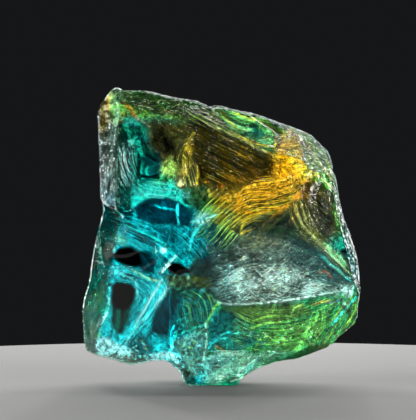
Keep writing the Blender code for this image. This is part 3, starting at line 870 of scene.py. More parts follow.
FLOWS = (
    Flow("swirl", Hue.YELLOW, ((306, 150), (300, 172), (276, 186), (246, 190), (222, 202), (198, 226)),
         ((262, 176), (302, 176), (300, 192), (290, 206), (264, 214), (244, 236), (228, 226), (230, 204),
          (240, 186)), 4, 1.0, 1.1),
    Flow("swirl_tail", Hue.LIME, ((306, 150), (300, 172), (276, 186), (246, 190), (222, 202), (198, 226)),
         ((240, 186), (236, 204), (244, 236), (222, 246), (190, 232), (196, 212), (206, 194)), 5, 0.9, 1.1),
    Flow("centre", Hue.GOLD, ((176, 112), (222, 136), (270, 160)), ((152, 122), (206, 118), (262, 146),
          (262, 180), (206, 184), (190, 140)), 4, 0.6, 0.7),
    Flow("silver", Hue.ICE, ((354, 286), (316, 272), (268, 262), (216, 276)), ((220, 264), (244, 258),
          (286, 262), (330, 280), (352, 284), (346, 292), (300, 296), (226, 300), (214, 284)), 6, 0.75,
         0.7),
    Flow("silver_top", Hue.SAGE, ((354, 282), (310, 252), (262, 236), (206, 250)), ((206, 244), (240, 228),
          (286, 232), (326, 264), (346, 280), (330, 276), (286, 256), (244, 250), (212, 258)), 4, 0.35,
         0.7),
    Flow("corner_band", Hue.YELLOW, ((186, 106), (226, 130), (274, 154)), ((180, 104), (206, 108),
          (232, 130), (276, 152), (272, 160), (228, 138), (196, 124)), 2.5, 0.75, 0.7),
    Flow("amber_lobe", Hue.YELLOW, ((196, 128), (187, 148), (184, 164), (190, 186)), ((182, 136),
          (196, 130), (194, 158), (200, 188), (184, 182), (176, 156)), 3, 0.9, 0.7),
    Flow("shoulder", Hue.YELLOW, ((284, 122), (306, 146), (336, 176)), ((276, 120), (310, 132), (336, 164),
          (336, 192), (312, 174), (296, 144)), 3, 0.45, 0.8),
    Flow("ridge", Hue.PALE_GOLD, ((292, 198), (299, 222), (320, 243), (354, 276)), ((286, 196), (300, 198),
          (326, 236), (356, 274), (344, 276), (308, 246), (290, 222)), 2.5, 0.8, 0.6),
    Flow("right_face", Hue.PALE_GOLD, ((296, 190), (320, 212), (346, 236)), ((300, 188), (330, 194),
          (346, 240), (328, 240), (304, 214)), 3, 0.35, 0.5),
    Flow("green_face", Hue.LIME, ((214, 296), (256, 320), (304, 318), (352, 296)), ((236, 310), (300, 304),
          (350, 292), (336, 318), (300, 348), (250, 356), (232, 336)), 5, 0.7, 1.0),
    Flow("olive_corner", Hue.YELLOW, ((356, 288), (346, 312), (322, 346)), ((350, 294), (362, 300),
          (352, 334), (318, 354), (308, 346), (330, 320)), 4, 0.75, 0.8),
    Flow("bottom", Hue.ICE, ((204, 352), (232, 352), (266, 350), (300, 352)), ((206, 346), (250, 346),
          (296, 346), (262, 368), (214, 384), (204, 378)), 4, 0.7, 0.8),
    Flow("teal_fan", Hue.LIME, ((180, 284), (200, 296), (206, 318)), ((184, 284), (218, 294), (216, 306),
          (204, 330), (184, 330)), 3, 0.4, 0.8),
    Flow("low_left", Hue.BRIGHT_CYAN, ((106, 268), (134, 270), (152, 280), (158, 300), (130, 340)),
         ((92, 262), (158, 262), (174, 284), (140, 340), (112, 344), (136, 300), (110, 278)), 4, 0.6, 1.0),
    Flow("teal_middle", Hue.BRIGHT_CYAN, ((112, 214), (150, 226), (186, 252), (196, 280)), ((96, 206),
          (136, 204), (150, 222), (186, 222), (212, 226), (206, 256), (176, 258), (100, 240)), 4, 0.55,
         0.9),
    Flow("shelf", Hue.PALE_CYAN, ((120, 146), (124, 170), (140, 192), (190, 200)), ((120, 146), (134, 146),
          (138, 178), (190, 188), (190, 200), (122, 212)), 3, 0.6, 0.8),
    Flow("back_gold", Hue.YELLOW, ((300, 130), (280, 180), (230, 230)), ((250, 120), (310, 140), (300, 200),
          (230, 240), (215, 200)), 6, 0.6, 1.3, Side.BACK),
    Flow("back_cyan", Hue.BRIGHT_CYAN, ((90, 220), (150, 280), (200, 360)), ((84, 220), (200, 220),
          (210, 370), (84, 350)), 8, 0.5, 1.6, Side.BACK),
    Flow("back_leaf", Hue.LEAF, ((120, 100), (200, 120), (300, 150)), ((110, 90), (320, 140), (300, 170),
          (200, 150), (110, 140)), 6, 0.5, 1.4, Side.BACK),
    Flow("back_ice", Hue.PALE_CYAN, ((360, 280), (280, 290), (210, 330)), ((215, 240), (350, 230),
          (358, 320), (260, 370), (210, 340)), 8, 0.4, 1.5, Side.BACK),
    # Painted highlights: the white strands of the bevel's feathers.
    Flow("bevel_feathers", Hue.ICE, ((100, 196), (108, 160), (116, 128)), ((98, 132), (117, 128),
          (118, 200), (100, 204)), 2, 0.7, 0.8),
)

SCRATCHED = (
    Zone("silver_face", ((214, 250), (240, 234), (282, 236), (322, 268), (352, 282), (350, 294), (300, 296),
          (226, 300), (204, 280)), 6, 0.35),
    Zone("silver_low", ((222, 266), (244, 258), (290, 264), (324, 280), (350, 284), (348, 292), (300, 296),
          (228, 298)), 7, 1.0),
    Zone("left_bevel", ((99, 130), (117, 130), (117, 200), (101, 202)), 2, 0.45),
    Zone("foot_face", ((178, 336), (204, 330), (202, 372), (190, 376)), 3, 0.3),
    Zone("bottom", ((206, 352), (290, 350), (262, 366), (214, 384)), 4, 0.45),
)

# Where the web of thin bright lines of painted caustic light lies.
CAUSTIC_WEBS = (
    Zone("shelf", ((118, 180), (190, 186), (216, 214), (200, 250), (120, 244)), 6, 0.6),
    Zone("low_left", ((84, 240), (170, 246), (172, 284), (140, 344), (84, 360)), 5, 0.35),
    Zone("left_flank", ((72, 228), (104, 232), (108, 352), (72, 356)), 4, 0.6, Side.THROUGH),
    Zone("lip", ((76, 344), (124, 352), (180, 350), (190, 384), (76, 366)), 3, 0.6, Side.THROUGH),
    Zone("teal_face", ((176, 290), (216, 296), (206, 330), (172, 334)), 4, 0.35),
    Zone("amber_mass", ((276, 134), (304, 136), (308, 180), (268, 188)), 4, 0.6),
    Zone("swirl", ((262, 178), (300, 176), (290, 206), (240, 224), (200, 220), (224, 196)), 4, 0.5),
    Zone("corner", ((104, 96), (200, 106), (196, 124), (104, 124)), 3, 0.7),
    Zone("centre", ((140, 124), (206, 120), (262, 146), (262, 180), (206, 196), (160, 186)), 4, 0.35),
    Zone("right", ((296, 130), (334, 160), (334, 190), (300, 180)), 4, 0.35),
    Zone("silver", ((200, 236), (290, 220), (352, 280), (230, 300)), 4, 0.4),
    Zone("green", ((240, 310), (350, 296), (340, 340), (262, 360)), 4, 0.5),
    Zone("green_left", ((208, 312), (250, 318), (262, 352), (208, 356)), 4, 0.5),
    Zone("bottom", ((206, 350), (262, 352), (250, 376), (206, 384)), 3, 0.9),
)

# Where the glass is grained: fine relief, dark grains, and bright grains of painted sparkle.
GRAINED = (
    Zone("amber_mass", ((266, 132), (304, 136), (308, 182), (262, 192)), 5, 1.0),
    Zone("swirl", ((262, 176), (300, 176), (290, 206), (240, 224), (200, 220), (224, 192)), 4, 0.5),
    Zone("corner", ((96, 90), (200, 104), (196, 124), (120, 124), (98, 134)), 3, 0.8),
    Zone("shoulder", ((280, 122), (334, 150), (338, 192), (310, 176)), 3, 0.8),
    Zone("centre", ((150, 122), (206, 120), (262, 146), (262, 184), (206, 196), (170, 180)), 4, 0.45),
    Zone("upper_left", ((118, 110), (150, 112), (160, 190), (118, 200)), 4, 0.4),
    Zone("silver", ((204, 240), (290, 224), (352, 280), (230, 300)), 4, 0.5),
    Zone("low_left", ((82, 236), (112, 244), (112, 340), (150, 350), (84, 362)), 4, 0.5),
    Zone("left_flank", ((72, 228), (104, 232), (108, 352), (72, 356)), 4, 0.7, Side.THROUGH),
    Zone("lip", ((76, 344), (124, 352), (180, 350), (190, 384), (76, 366)), 3, 0.8, Side.THROUGH),
    Zone("foot", ((174, 332), (206, 326), (262, 356), (206, 384), (184, 376)), 3, 0.7),
    Zone("green", ((222, 306), (352, 296), (342, 340), (262, 360)), 4, 0.4),
)

CALM = (
    Zone("band", ((137, 280), (158, 274), (174, 284), (142, 332), (118, 348), (132, 312)), 4, 0.8),
    Zone("left_strip", ((78, 230), (112, 236), (114, 340), (78, 346)), 4, 0.6),
    Zone("above_window", ((104, 226), (150, 232), (160, 250), (108, 248)), 4, 0.6),
)

CRUMBLED = (
    Zone("shoulder", ((278, 118), (310, 128), (336, 152), (340, 192), (314, 180), (296, 150)), 3, 1.0),
    Zone("corner", ((120, 92), (170, 94), (208, 106), (198, 124), (130, 118)), 3, 0.6),
    Zone("amber", ((272, 132), (306, 134), (310, 182), (264, 190)), 4, 0.6),
    Zone("lip", ((82, 334), (150, 346), (150, 366), (84, 360)), 3, 0.4),
)

RIPPLES = (
    Ripples("upper_face", (330, 150), (240, 165), 3.4, 0.060, 75),
    Ripples("silver_face", (356, 284), (270, 265), 2.6, 0.055, 60),
    Ripples("green_face", (219, 300), (280, 330), 2.4, 0.075, 50),
    Ripples("teal_face", (206, 343), (190, 305), 2.2, 0.060, 30),
    Ripples("right_face", (340, 200), (320, 220), 2.2, 0.050, 30),
    Ripples("corner_bevel", (205, 110), (155, 105), 1.9, 0.070, 28),
    Ripples("emerald_bevel", (196, 117), (250, 130), 2.8, 0.045, 30),
    Ripples("shoulder", (277, 128), (312, 160), 1.8, 0.070, 20),
    Ripples("foot_face", (206, 343), (192, 356), 1.8, 0.060, 20),
    Ripples("upper_window", (118, 207), (135, 250), 2.6, 0.012, 34),
    Ripples("lower_window", (112, 266), (130, 310), 2.6, 0.012, 34),
    Ripples("left_bevel", (118, 186), (109, 150), 1.7, 0.080, 40),
    Ripples("bottom_lip", (88, 345), (115, 353), 1.8, 0.070, 24),
    Ripples("olive_corner", (356, 284), (340, 325), 1.8, 0.085, 28),
    Ripples("back_pane", (250, 300), (220, 240), 4.0, 0.022, 80, Side.BACK),
    Ripples("back_crown", (250, 112), (220, 130), 3.0, 0.030, 50, Side.BACK),
    Ripples("back_right", (356, 290), (330, 260), 2.6, 0.030, 40, Side.BACK),
    Ripples("back_slope", (285, 360), (260, 340), 2.8, 0.030, 40, Side.BACK),
    Ripples("back_left", (84, 300), (115, 290), 2.6, 0.030, 40, Side.BACK),
)

LEDGES = (
    Ledge("upper_arc", ((118, 207), (140, 232), (164, 246), (180, 264)), 0.35, 2.0),
    Ledge("lower_arc", ((106, 262), (132, 267), (153, 276), (172, 283)), 0.45, 2.2),
    Ledge("inner_arc", ((110, 284), (124, 277), (136, 284), (138, 300)), 0.30, 1.6),
    Ledge("band_left", ((160, 278), (148, 304), (126, 338)), 0.16, 1.6),
    Ledge("band_right", ((170, 285), (160, 300), (146, 322)), 0.16, 1.6),
    Ledge("swirl_lip", ((222, 204), (250, 212), (284, 204), (296, 194)), 0.25, 2.0),
    Ledge("window_frame", ((228, 131), (256, 144), (276, 148), (276, 134), (256, 120)), 0.22, 1.4),
)

# Smooth windows, kept free of relief and strands. The black windows and the dark teal beside the upper one are
# painted shade.
WINDOWS = ("upper_window", "upper_window_right", "lower_window", "lower_window_green", "black_eye",
           "dark_oval", "teal_face_dark", "emerald_window", "ripple_hollow")


def grey(value: float) -> tuple[float, float, float, float]:
    """Gives an opaque grey of the value."""
    return (value, value, value, 1)


class Wiring:
    """A short way to add and join the nodes of one material or node group."""

    def __init__(self, tree: bpy.types.NodeTree) -> None:
        """Keeps the tree that the nodes go in."""
        self.tree = tree

    def add(self, kind: str, settings: dict | None = None, **values: object) -> bpy.types.Node:
        """Adds a node.

        Args:
            kind: The node's type, without the word that starts every type.
            settings: The node's own settings, by name.
            values: What goes into its sockets, by socket name with _ for a space: a number, a colour,
                a vector or another node's output.

        Returns:
            The new node.
        """
        node = self.tree.nodes.new("ShaderNode" + kind)
        for name, setting in (settings or {}).items():
            setattr(node, name, setting)
        for name, value in values.items():
            self.feed(node.inputs[name.replace("_", " ")], value)
        return node

    def feed(self, socket: bpy.types.NodeSocket, value: object) -> None:
        """Joins an output to a socket, or sets the socket's own value.

        Args:
            socket: The socket that is fed.
            value: Another node's output, or a number, a colour or a vector.
        """
        if isinstance(value, bpy.types.NodeSocket):
            self.tree.links.new(value, socket)
        else:
            socket.default_value = value

    def math(self, operation: str, *values: object) -> bpy.types.NodeSocket:
        """Adds a Math node.

        Args:
            operation: What the node does.
            values: What goes into its sockets, in order.

        Returns:
            The node's output.
        """
        node = self.add("Math", {"operation": operation})
        for socket, value in zip(node.inputs, values):
            self.feed(socket, value)
        return node.outputs[0]

    def ramp(self, value: object, low: object, high: object) -> bpy.types.NodeSocket:
        """Rises smoothly from 0 to 1.

        Args:
            value: What is compared with low and high.
            low: The value that gives 0.
            high: The value that gives 1. It may be the smaller one.

        Returns:
            The node's output.
        """
        node = self.add("MapRange", {"interpolation_type": "SMOOTHSTEP"}, Value=value, From_Min=low,
                        From_Max=high)
        return node.outputs["Result"]

    def mix(self, share: object, under: object, over: object, blend: str = "MIX") -> bpy.types.NodeSocket:
        """Lays one colour over another.

        Args:
            share: How far the upper colour covers.
            under: The lower colour.
            over: The upper colour.
            blend: How the two colours are joined.

        Returns:
            The node's output.
        """
        node = self.add("Mix", {"data_type": "RGBA", "blend_type": blend})
        self.feed(node.inputs["Factor"], share)
        self.feed(node.inputs["A"], under)
        self.feed(node.inputs["B"], over)
        return node.outputs["Result"]

    def noise(self, place: bpy.types.NodeSocket, **values: float) -> bpy.types.NodeSocket:
        """Adds a Noise Texture at the place and gives its value."""
        return self.add("TexNoise", Vector=place, **values).outputs["Fac"]

    def carried(self, name: str, output: str = "Fac") -> bpy.types.NodeSocket:
        """Reads what the piece carries under a name."""
        return self.add("Attribute", {"attribute_name": name}).outputs[output]


def scratches_group() -> bpy.types.ShaderNodeTree:
    """Builds the group that draws fine straight scratches in one direction.

    Returns:
        The group: Vector, Turn, Length, Width, Low and High in, and Mask out.
    """
    group = bpy.data.node_groups.new("Fine scratches", "ShaderNodeTree")
    group.interface.new_socket("Vector", in_out="INPUT", socket_type="NodeSocketVector")
    for name, value in (("Turn", 0.0), ("Length", 9.0), ("Width", 0.25), ("Low", 0.6), ("High", 0.7)):
        group.interface.new_socket(name, in_out="INPUT", socket_type="NodeSocketFloat").default_value = value
    group.interface.new_socket("Mask", in_out="OUTPUT", socket_type="NodeSocketFloat")
    wire = Wiring(group)
    given = group.nodes.new("NodeGroupInput")
    result = group.nodes.new("NodeGroupOutput")
    turned = wire.add("VectorRotate", {"rotation_type": "Y_AXIS"}, Vector=given.outputs["Vector"],
                      Angle=given.outputs["Turn"])
    parts = wire.add("SeparateXYZ", Vector=turned.outputs["Vector"])
    along = wire.math("DIVIDE", parts.outputs["X"], given.outputs["Length"])
    across = wire.math("DIVIDE", parts.outputs["Z"], given.outputs["Width"])
    deep = wire.math("DIVIDE", parts.outputs["Y"], given.outputs["Length"])
    place = wire.add("CombineXYZ", X=along, Y=across, Z=deep)
    noise = wire.noise(place.outputs["Vector"], Scale=1.0, Detail=1.5)
    mask = wire.ramp(noise, given.outputs["Low"], given.outputs["High"])
    wire.feed(result.inputs["Mask"], mask)
    return group


@dataclass(frozen=True)
class ScratchSet:
    """Fine scratches that all run one way."""

    turn_degrees: float
    length: float
    width: float
    sparse: float


@dataclass(frozen=True)
class Markings:
    """The masks, hues and heights that the parts of the glass share."""

    tint: bpy.types.NodeSocket
    mottle: bpy.types.NodeSocket
    strand_hue: bpy.types.NodeSocket
    strand_bright: bpy.types.NodeSocket
    strand_dark: bpy.types.NodeSocket
    grain: bpy.types.NodeSocket
    # The bright grains are painted sparkle, and the web is thin bright lines of painted caustic light.
    grain_sparkle: bpy.types.NodeSocket
    grain_dark: bpy.types.NodeSocket
    web: bpy.types.NodeSocket
    scratched: bpy.types.NodeSocket
    frosted: bpy.types.NodeSocket


@dataclass(frozen=True)
class GlassFinish:
    """Clear glass whose colour runs through it in zones and strands.

    Light that goes through a face is tinted by the square root of its base colour, so the last step squares
    the colour. pale_power makes the pale version of a tint.
    """

    name: str = "coloured_glass"
    see_through: float = 0.95
    refraction: float = 1.5
    absorption_colour: Colour = (0.55, 0.86, 0.88)
    absorption_density: float = 10.0
    clear_roughness: float = 0.02
    scratch_roughness: float = 0.30
    frost_roughness: float = 0.30
    scratch_colour: Colour = (1.0, 0.98, 0.98)
    frost_colour: Colour = (1.0, 0.96, 0.95)
    mottle_dark: float = 0.12
    mottle_light: float = 1.3
    mottle_still: float = 0.2
    mottle_lively: float = 0.65
    strand_shadow: float = 0.12
    grain_shadow: float = 0.3
    pale_power: float = 0.42
    square: float = 2.0
    scratch_sets: tuple[ScratchSet, ...] = (ScratchSet(38, 4.0, 0.20, 0.58),
                                            ScratchSet(-34, 3.4, 0.19, 0.60),
                                            ScratchSet(12, 4.4, 0.22, 0.61))
    scratch_edge: float = 0.07
    frost_grain: float = 2.2
    frost_spread: float = 0.7
    strand_height: float = 0.5
    scratch_height: float = 0.6
    mottle_height: float = 0.5
    grain_height: float = 1.2
    frost_height: float = 0.8
    bump_strength: float = 0.55
    bump_depth: float = 0.25

    def make(self) -> bpy.types.Material:
        """Builds the glass from the colours and strands that the piece carries.

        Returns:
            The material.
        """
        material = bpy.data.materials.new(self.name)
        material.use_nodes = True
        wire = Wiring(material.node_tree)
        glass = material.node_tree.nodes["Principled BSDF"]
        glass.inputs["Transmission Weight"].default_value = self.see_through
        glass.inputs["IOR"].default_value = self.refraction
        marked = self._markings(wire)
        wire.feed(glass.inputs["Base Color"], self._base_colour(wire, marked))
        wire.feed(glass.inputs["Roughness"], self._roughness(wire, marked))
        bump = wire.add("Bump", Strength=self.bump_strength, Distance=self.bump_depth * MM,
                        Height=self._height(wire, marked))
        wire.feed(glass.inputs["Normal"], bump.outputs["Normal"])
        absorb = wire.add("VolumeAbsorption", Color=(*self.absorption_colour, 1),
                          Density=self.absorption_density)
        wire.feed(material.node_tree.nodes["Material Output"].inputs["Volume"], absorb.outputs["Volume"])
        return material

    def _markings(self, wire: Wiring) -> Markings:
        """Draws every marking of the glass.

        Args:
            wire: The material's nodes.

        Returns:
            The masks, hues and heights.
        """
        here = wire.add("TexCoord").outputs["Object"]
        place = wire.add("VectorMath", {"operation": "SCALE"}, Vector=here, Scale=1 / MM).outputs["Vector"]
        strands = wire.noise(wire.carried("flow", "Vector"), Scale=1.0, Detail=2.5, Roughness=0.6)
        strand_share = wire.carried("strand_tint", "Alpha")
        grain = wire.noise(place, Scale=2.3, Detail=1.0)
        grain_share = wire.carried("grain")
        return Markings(
            tint=wire.carried("tint", "Color"),
            mottle=wire.noise(place, Scale=0.75, Detail=5.0, Roughness=0.66),
            strand_hue=wire.carried("strand_tint", "Color"),
            strand_bright=wire.math("MULTIPLY", wire.ramp(strands, low=0.52, high=0.64), strand_share),
            strand_dark=wire.math("MULTIPLY", wire.ramp(strands, low=0.48, high=0.36), strand_share),
            grain=wire.math("MULTIPLY", grain, grain_share),
            grain_sparkle=wire.math("MULTIPLY", wire.ramp(grain, low=0.59, high=0.68), grain_share),
            grain_dark=wire.math("MULTIPLY", wire.ramp(grain, low=0.46, high=0.36), grain_share),
            web=self._caustic_web(wire, place),
            scratched=self._scratched(wire, place),
            frosted=self._frosted(wire, place),
        )

    def _base_colour(self, wire: Wiring, marked: Markings) -> bpy.types.NodeSocket:
        """Lays the markings over the tint, from the deepest to the topmost. The web is painted caustic light,
        and the bright grains are painted sparkle.

        Args:
            wire: The material's nodes.
            marked: The markings.

        Returns:
            The colour for the shader.
        """
        shade = wire.ramp(marked.mottle, low=0.34, high=0.60)
        lively = wire.math("MULTIPLY_ADD", wire.carried("lively"), self.mottle_lively, self.mottle_still)
        mottle = wire.mix(shade, grey(self.mottle_dark), grey(self.mottle_light))
        colour = wire.mix(lively, marked.tint, mottle, "MULTIPLY")
        colour = wire.mix(marked.strand_dark, colour, grey(self.strand_shadow), "MULTIPLY")
        colour = wire.mix(marked.strand_bright, colour, marked.strand_hue)
        pale = wire.add("Gamma", Color=marked.tint, Gamma=self.pale_power).outputs["Color"]
        # Painted caustic light: the web's bright lines in the pale tint.
        colour = wire.mix(marked.web, colour, pale)
        colour = wire.mix(marked.grain_dark, colour, grey(self.grain_shadow), "MULTIPLY")
        # Painted sparkle: the bright grains in the pale tint.
        colour = wire.mix(marked.grain_sparkle, colour, pale)
        colour = wire.mix(marked.scratched, colour, (*self.scratch_colour, 1))
        colour = wire.mix(marked.frosted, colour, (*self.frost_colour, 1))
        return wire.add("Gamma", Color=colour, Gamma=self.square).outputs["Color"]

    def _roughness(self, wire: Wiring, marked: Markings) -> bpy.types.NodeSocket:
        """Gives the roughness: clear glass, rougher in the scratches and the frost."""
        rough = wire.math("MULTIPLY_ADD", marked.scratched, self.scratch_roughness, self.clear_roughness)
        return wire.math("MULTIPLY_ADD", marked.frosted, self.frost_roughness, rough)

    def _height(self, wire: Wiring, marked: Markings) -> bpy.types.NodeSocket:
        """Adds up the small relief of the markings.

        Args:
            wire: The material's nodes.
            marked: The markings.

        Returns:
            The height for the bump.
        """
        mottle = wire.math("MULTIPLY", marked.mottle, wire.carried("plain"))
        height = wire.math("MULTIPLY", marked.scratched, self.scratch_height)
        for relief, rise in ((marked.strand_bright, self.strand_height), (mottle, self.mottle_height),
                             (marked.grain, self.grain_height), (marked.frosted, self.frost_height)):
            height = wire.math("MULTIPLY_ADD", relief, rise, height)
        return height

    def _scratched(self, wire: Wiring, place: bpy.types.NodeSocket) -> bpy.types.NodeSocket:
        """Draws crossing fine scratches in patches, where the piece carries them.

        Args:
            wire: The material's nodes.
            place: The place on the piece in millimetres.

        Returns:
            The scratches' mask.
        """
        group = scratches_group()
        most = None
        for kind in self.scratch_sets:
            node = wire.add("Group", {"node_tree": group}, Vector=place,
                            Turn=math.radians(kind.turn_degrees), Length=kind.length, Width=kind.width,
                            Low=kind.sparse, High=kind.sparse + self.scratch_edge)
            mask = node.outputs["Mask"]
            most = mask if most is None else wire.math("MAXIMUM", most, mask)
        patches = wire.noise(place, Scale=0.22, Detail=4.0, Roughness=0.65)
        most = wire.math("MULTIPLY", most, wire.ramp(patches, low=0.36, high=0.54))
        return wire.math("MULTIPLY", most, wire.carried("scratched"))

    def _frosted(self, wire: Wiring, place: bpy.types.NodeSocket) -> bpy.types.NodeSocket:
        """Breaks the frost that the piece carries into grains.

        Args:
            wire: The material's nodes.
            place: The place on the piece in millimetres.

        Returns:
            The frost's mask.
        """
        grain = wire.noise(place, Scale=1.5, Detail=4.0, Roughness=0.75)
        frost = wire.carried("frost")
        spread = wire.math("MULTIPLY", frost, self.frost_spread)
        amount = wire.math("MULTIPLY_ADD", grain, self.frost_grain, spread)
        grains = wire.ramp(amount, low=1.45, high=1.70)
        return wire.math("MULTIPLY", grains, wire.ramp(frost, low=0.05, high=0.30))

    def _caustic_web(self, wire: Wiring, place: bpy.types.NodeSocket) -> bpy.types.NodeSocket:
        """Draws a web of thin bright lines of painted caustic light, where the piece carries it.

        Args:
            wire: The material's nodes.
            place: The place on the piece in millimetres.

        Returns:
            The web's mask.
        """
        wide = wire.noise(place, Scale=0.42, Detail=3.0, Roughness=0.55, Distortion=0.8)
        line = wire.math("ABSOLUTE", wire.math("SUBTRACT", wide, 0.5))
        return wire.math("MULTIPLY", wire.ramp(line, low=0.022, high=0.004), wire.carried("web"))


@dataclass(frozen=True)
class Rim:
    """The crumbled, frosted rim, with its share above, low on the left and elsewhere.

    The cell and the centre are in millimetres, and the angles are in degrees about the centre.
    """

    cell: float = 0.5
    margin: int = 8
    rounds: int = 10
    filled_share: Span = (0.64, 0.95)
    centre: Point = (0.0, 42.0)
    above_from: Span = (-12, 12)
    above_to: Span = (112, 128)
    low_from: Span = (-165, -150)
    low_to: Span = (-110, -85)
    everywhere_share: float = 0.08
    above_share: float = 0.92
    low_share: float = 0.75

    def share(self, skin: Skin) -> np.ndarray:
        """Works out how much each point belongs to the rim, by how little of the chunk is round it.

        Args:
            skin: The points.

        Returns:
            The share of each point, 0 to 1.
        """
        flat = skin.places[:, [0, 2]]
        index = np.round((flat - flat.min(axis=0)) / self.cell).astype(int) + self.margin
        filled = np.zeros(index.max(axis=0) + self.margin + 1)
        filled[index[:, 0], index[:, 1]] = 1
        shifts = [(step, axis) for axis in (0, 1) for step in (-1, 0, 1)]
        for _ in range(self.rounds):
            filled = sum(np.roll(filled, step, axis) for step, axis in shifts) / len(shifts)
        edge = 1 - smooth(*self.filled_share, filled[index[:, 0], index[:, 1]])
        outward = flat - np.array(self.centre)
        turn = np.degrees(np.arctan2(outward[:, 1], outward[:, 0]))
        above = smooth(*self.above_from, turn) * (1 - smooth(*self.above_to, turn))
        low = smooth(*self.low_from, turn) * (1 - smooth(*self.low_to, turn))
        return edge * np.clip(self.everywhere_share + self.above_share * above + self.low_share * low, 0, 1)


@dataclass
class GlassChunk:
    """The chunk of glass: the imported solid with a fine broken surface.

    Its depths are in millimetres. back_colour is how strongly the colours that run through show on the back.
    strand_across, strand_along and strand_gap turn millimetres into the strands' own coordinates.
    """

    name: str = "broken_glass"
    voxel: float = 0.41
    merge: float = 0.01
    even_share: float = 0.5
    even_rounds: int = 2
    thin_back_from: float = 0.35
    thin_back_share: float = 0.25
    swells: tuple[Swell, ...] = (Swell(9.0, 30, 0.05), Swell(3.2, 31, 0.02))
    crumbs: tuple[Swell, ...] = (Swell(2.2, 32), Swell(1.2, 33, 0.6))
    grains: tuple[Swell, ...] = (Swell(1.3, 34), Swell(0.9, 35, 0.8, 20))
    window_relief: float = 0.2
    wall_slope: Span = (0.30, 0.62)
    wall_depth: float = 0.28
    rim_depth: float = 0.26
    crumbled_depth: float = 0.12
    kept_foot: Span = (0.6, 2.2)
    bends: tuple[Swell, Swell] = (Swell(7, 50), Swell(7, 51))
    coarse_bend: float = 1.6
    fine_bend: float = 0.5
    back_colour: float = 0.6
    back_mottle: float = 0.4
    strand_across: float = 3.8
    strand_along: float = 0.07
    strand_gap: float = 7.0
    rim: Rim = field(default_factory=Rim)
    box_low: Vector = field(default_factory=lambda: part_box(NODE)[0])
    box_high: Vector = field(default_factory=lambda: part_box(NODE)[1])
    finish: GlassFinish = field(default_factory=GlassFinish)

    def build(self) -> bpy.types.Object:
        """Makes, shapes, colours and dresses the chunk.

        Returns:
            The finished piece.
        """
        piece = self._skin_of_solid()
        self._shape(piece)
        self._thin_back(piece)
        skin = Skin(piece.data)
        self._colour(skin)
        self._lay_strands(skin)
        self._roughen(skin)
        piece.data.materials.clear()
        piece.data.materials.append(self.finish.make())
        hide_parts(NODE)
        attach(piece, BODY)
        log.info("%s: %d faces", self.name, len(piece.data.polygons))
        return piece

    def _skin_of_solid(self) -> bpy.types.Object:
        """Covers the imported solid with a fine, even mesh.

        Returns:
            The new piece.
        """
        solid = self._copy_of_node("solid_copy")
        piece = self._copy_of_node(self.name)
        remesh = piece.modifiers.new("Even mesh", "REMESH")
        remesh.mode = "VOXEL"
        remesh.voxel_size = self.voxel * MM
        bpy.ops.object.modifier_apply(modifier=remesh.name)
        snap = piece.modifiers.new("Sharp ridges", "SHRINKWRAP")
        snap.target = solid
        snap.wrap_method = "NEAREST_SURFACEPOINT"
        bpy.ops.object.modifier_apply(modifier=snap.name)
        bpy.data.objects.remove(solid)
        soften = piece.modifiers.new("Even ridges", "SMOOTH")
        soften.factor = self.even_share
        soften.iterations = self.even_rounds
        bpy.ops.object.modifier_apply(modifier=soften.name)
        bpy.ops.object.shade_smooth()
        return piece

    def _copy_of_node(self, name: str) -> bpy.types.Object:
        """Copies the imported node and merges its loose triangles.

        Args:
            name: The copy's name.

        Returns:
            The copy, which is the only object selected, and active.
        """
        copy = bpy.data.objects.new(name, bpy.data.objects[NODE].data.copy())
        bpy.context.collection.objects.link(copy)
        bpy.ops.object.select_all(action="DESELECT")
        copy.select_set(True)
        bpy.context.view_layer.objects.active = copy
        bpy.ops.object.mode_set(mode="EDIT")
        bpy.ops.mesh.select_all(action="SELECT")
        bpy.ops.mesh.remove_doubles(threshold=self.merge * MM)
        bpy.ops.object.mode_set(mode="OBJECT")
        return copy

    def _shape(self, piece: bpy.types.Object) -> None:
        """Gives the broken faces their ripples and ledges, and crumbles the rim.

        Args:
            piece: The piece to shape.
        """
        skin = Skin(piece.data)
        rise = sum(swell.at(skin.places) for swell in self.swells)
        for form in RIPPLES + LEDGES:
            rise += form.rise(skin)
        rise *= self.window_relief + (1 - self.window_relief) * self._plain(skin, skin.grid)
        wall = 1 - smooth(*self.wall_slope, np.abs(skin.normals[:, 1]))
        rise -= wall * self.wall_depth * sum(np.abs(crumb.at(skin.places)) for crumb in self.crumbs)
        crumbled = self.rim.share(skin) * self.rim_depth
        crumbled += self._most(CRUMBLED, skin, skin.grid) * self.crumbled_depth
        rise -= crumbled * sum(np.abs(grain.at(skin.places)) for grain in self.grains)
        stands = smooth(*self.kept_foot, skin.places[:, 2])
        places = skin.places + skin.normals * (rise * stands)[:, None]
        skin.move(np.clip(places, np.array(self.box_low) / MM, np.array(self.box_high) / MM))

    def _thin_back(self, piece: bpy.types.Object) -> None:
        """Thins the mesh where it faces back, which the fine marks don't reach.

        Args:
            piece: The piece, which is active.
        """
        skin = Skin(piece.data)
        bpy.ops.object.mode_set(mode="EDIT")
        bpy.ops.mesh.select_mode(type="VERT")
        bpy.ops.mesh.select_all(action="DESELECT")
        bpy.ops.object.mode_set(mode="OBJECT")
        piece.data.vertices.foreach_set("select", skin.normals[:, 1] > self.thin_back_from)
        bpy.ops.object.mode_set(mode="EDIT")
        bpy.ops.mesh.decimate(ratio=self.thin_back_share)
        bpy.ops.object.mode_set(mode="OBJECT")
        bpy.ops.object.shade_smooth()

    def _bent(self, skin: Skin, amount: float) -> np.ndarray:
        """Moves every point's place on the grid a little, so that no edge of a mark is quite straight.

        Args:
            skin: The points.
            amount: How far the places move.

        Returns:
            The new places on the grid.
        """
        return skin.grid + amount * np.column_stack([bend.at(skin.places) for bend in self.bends])

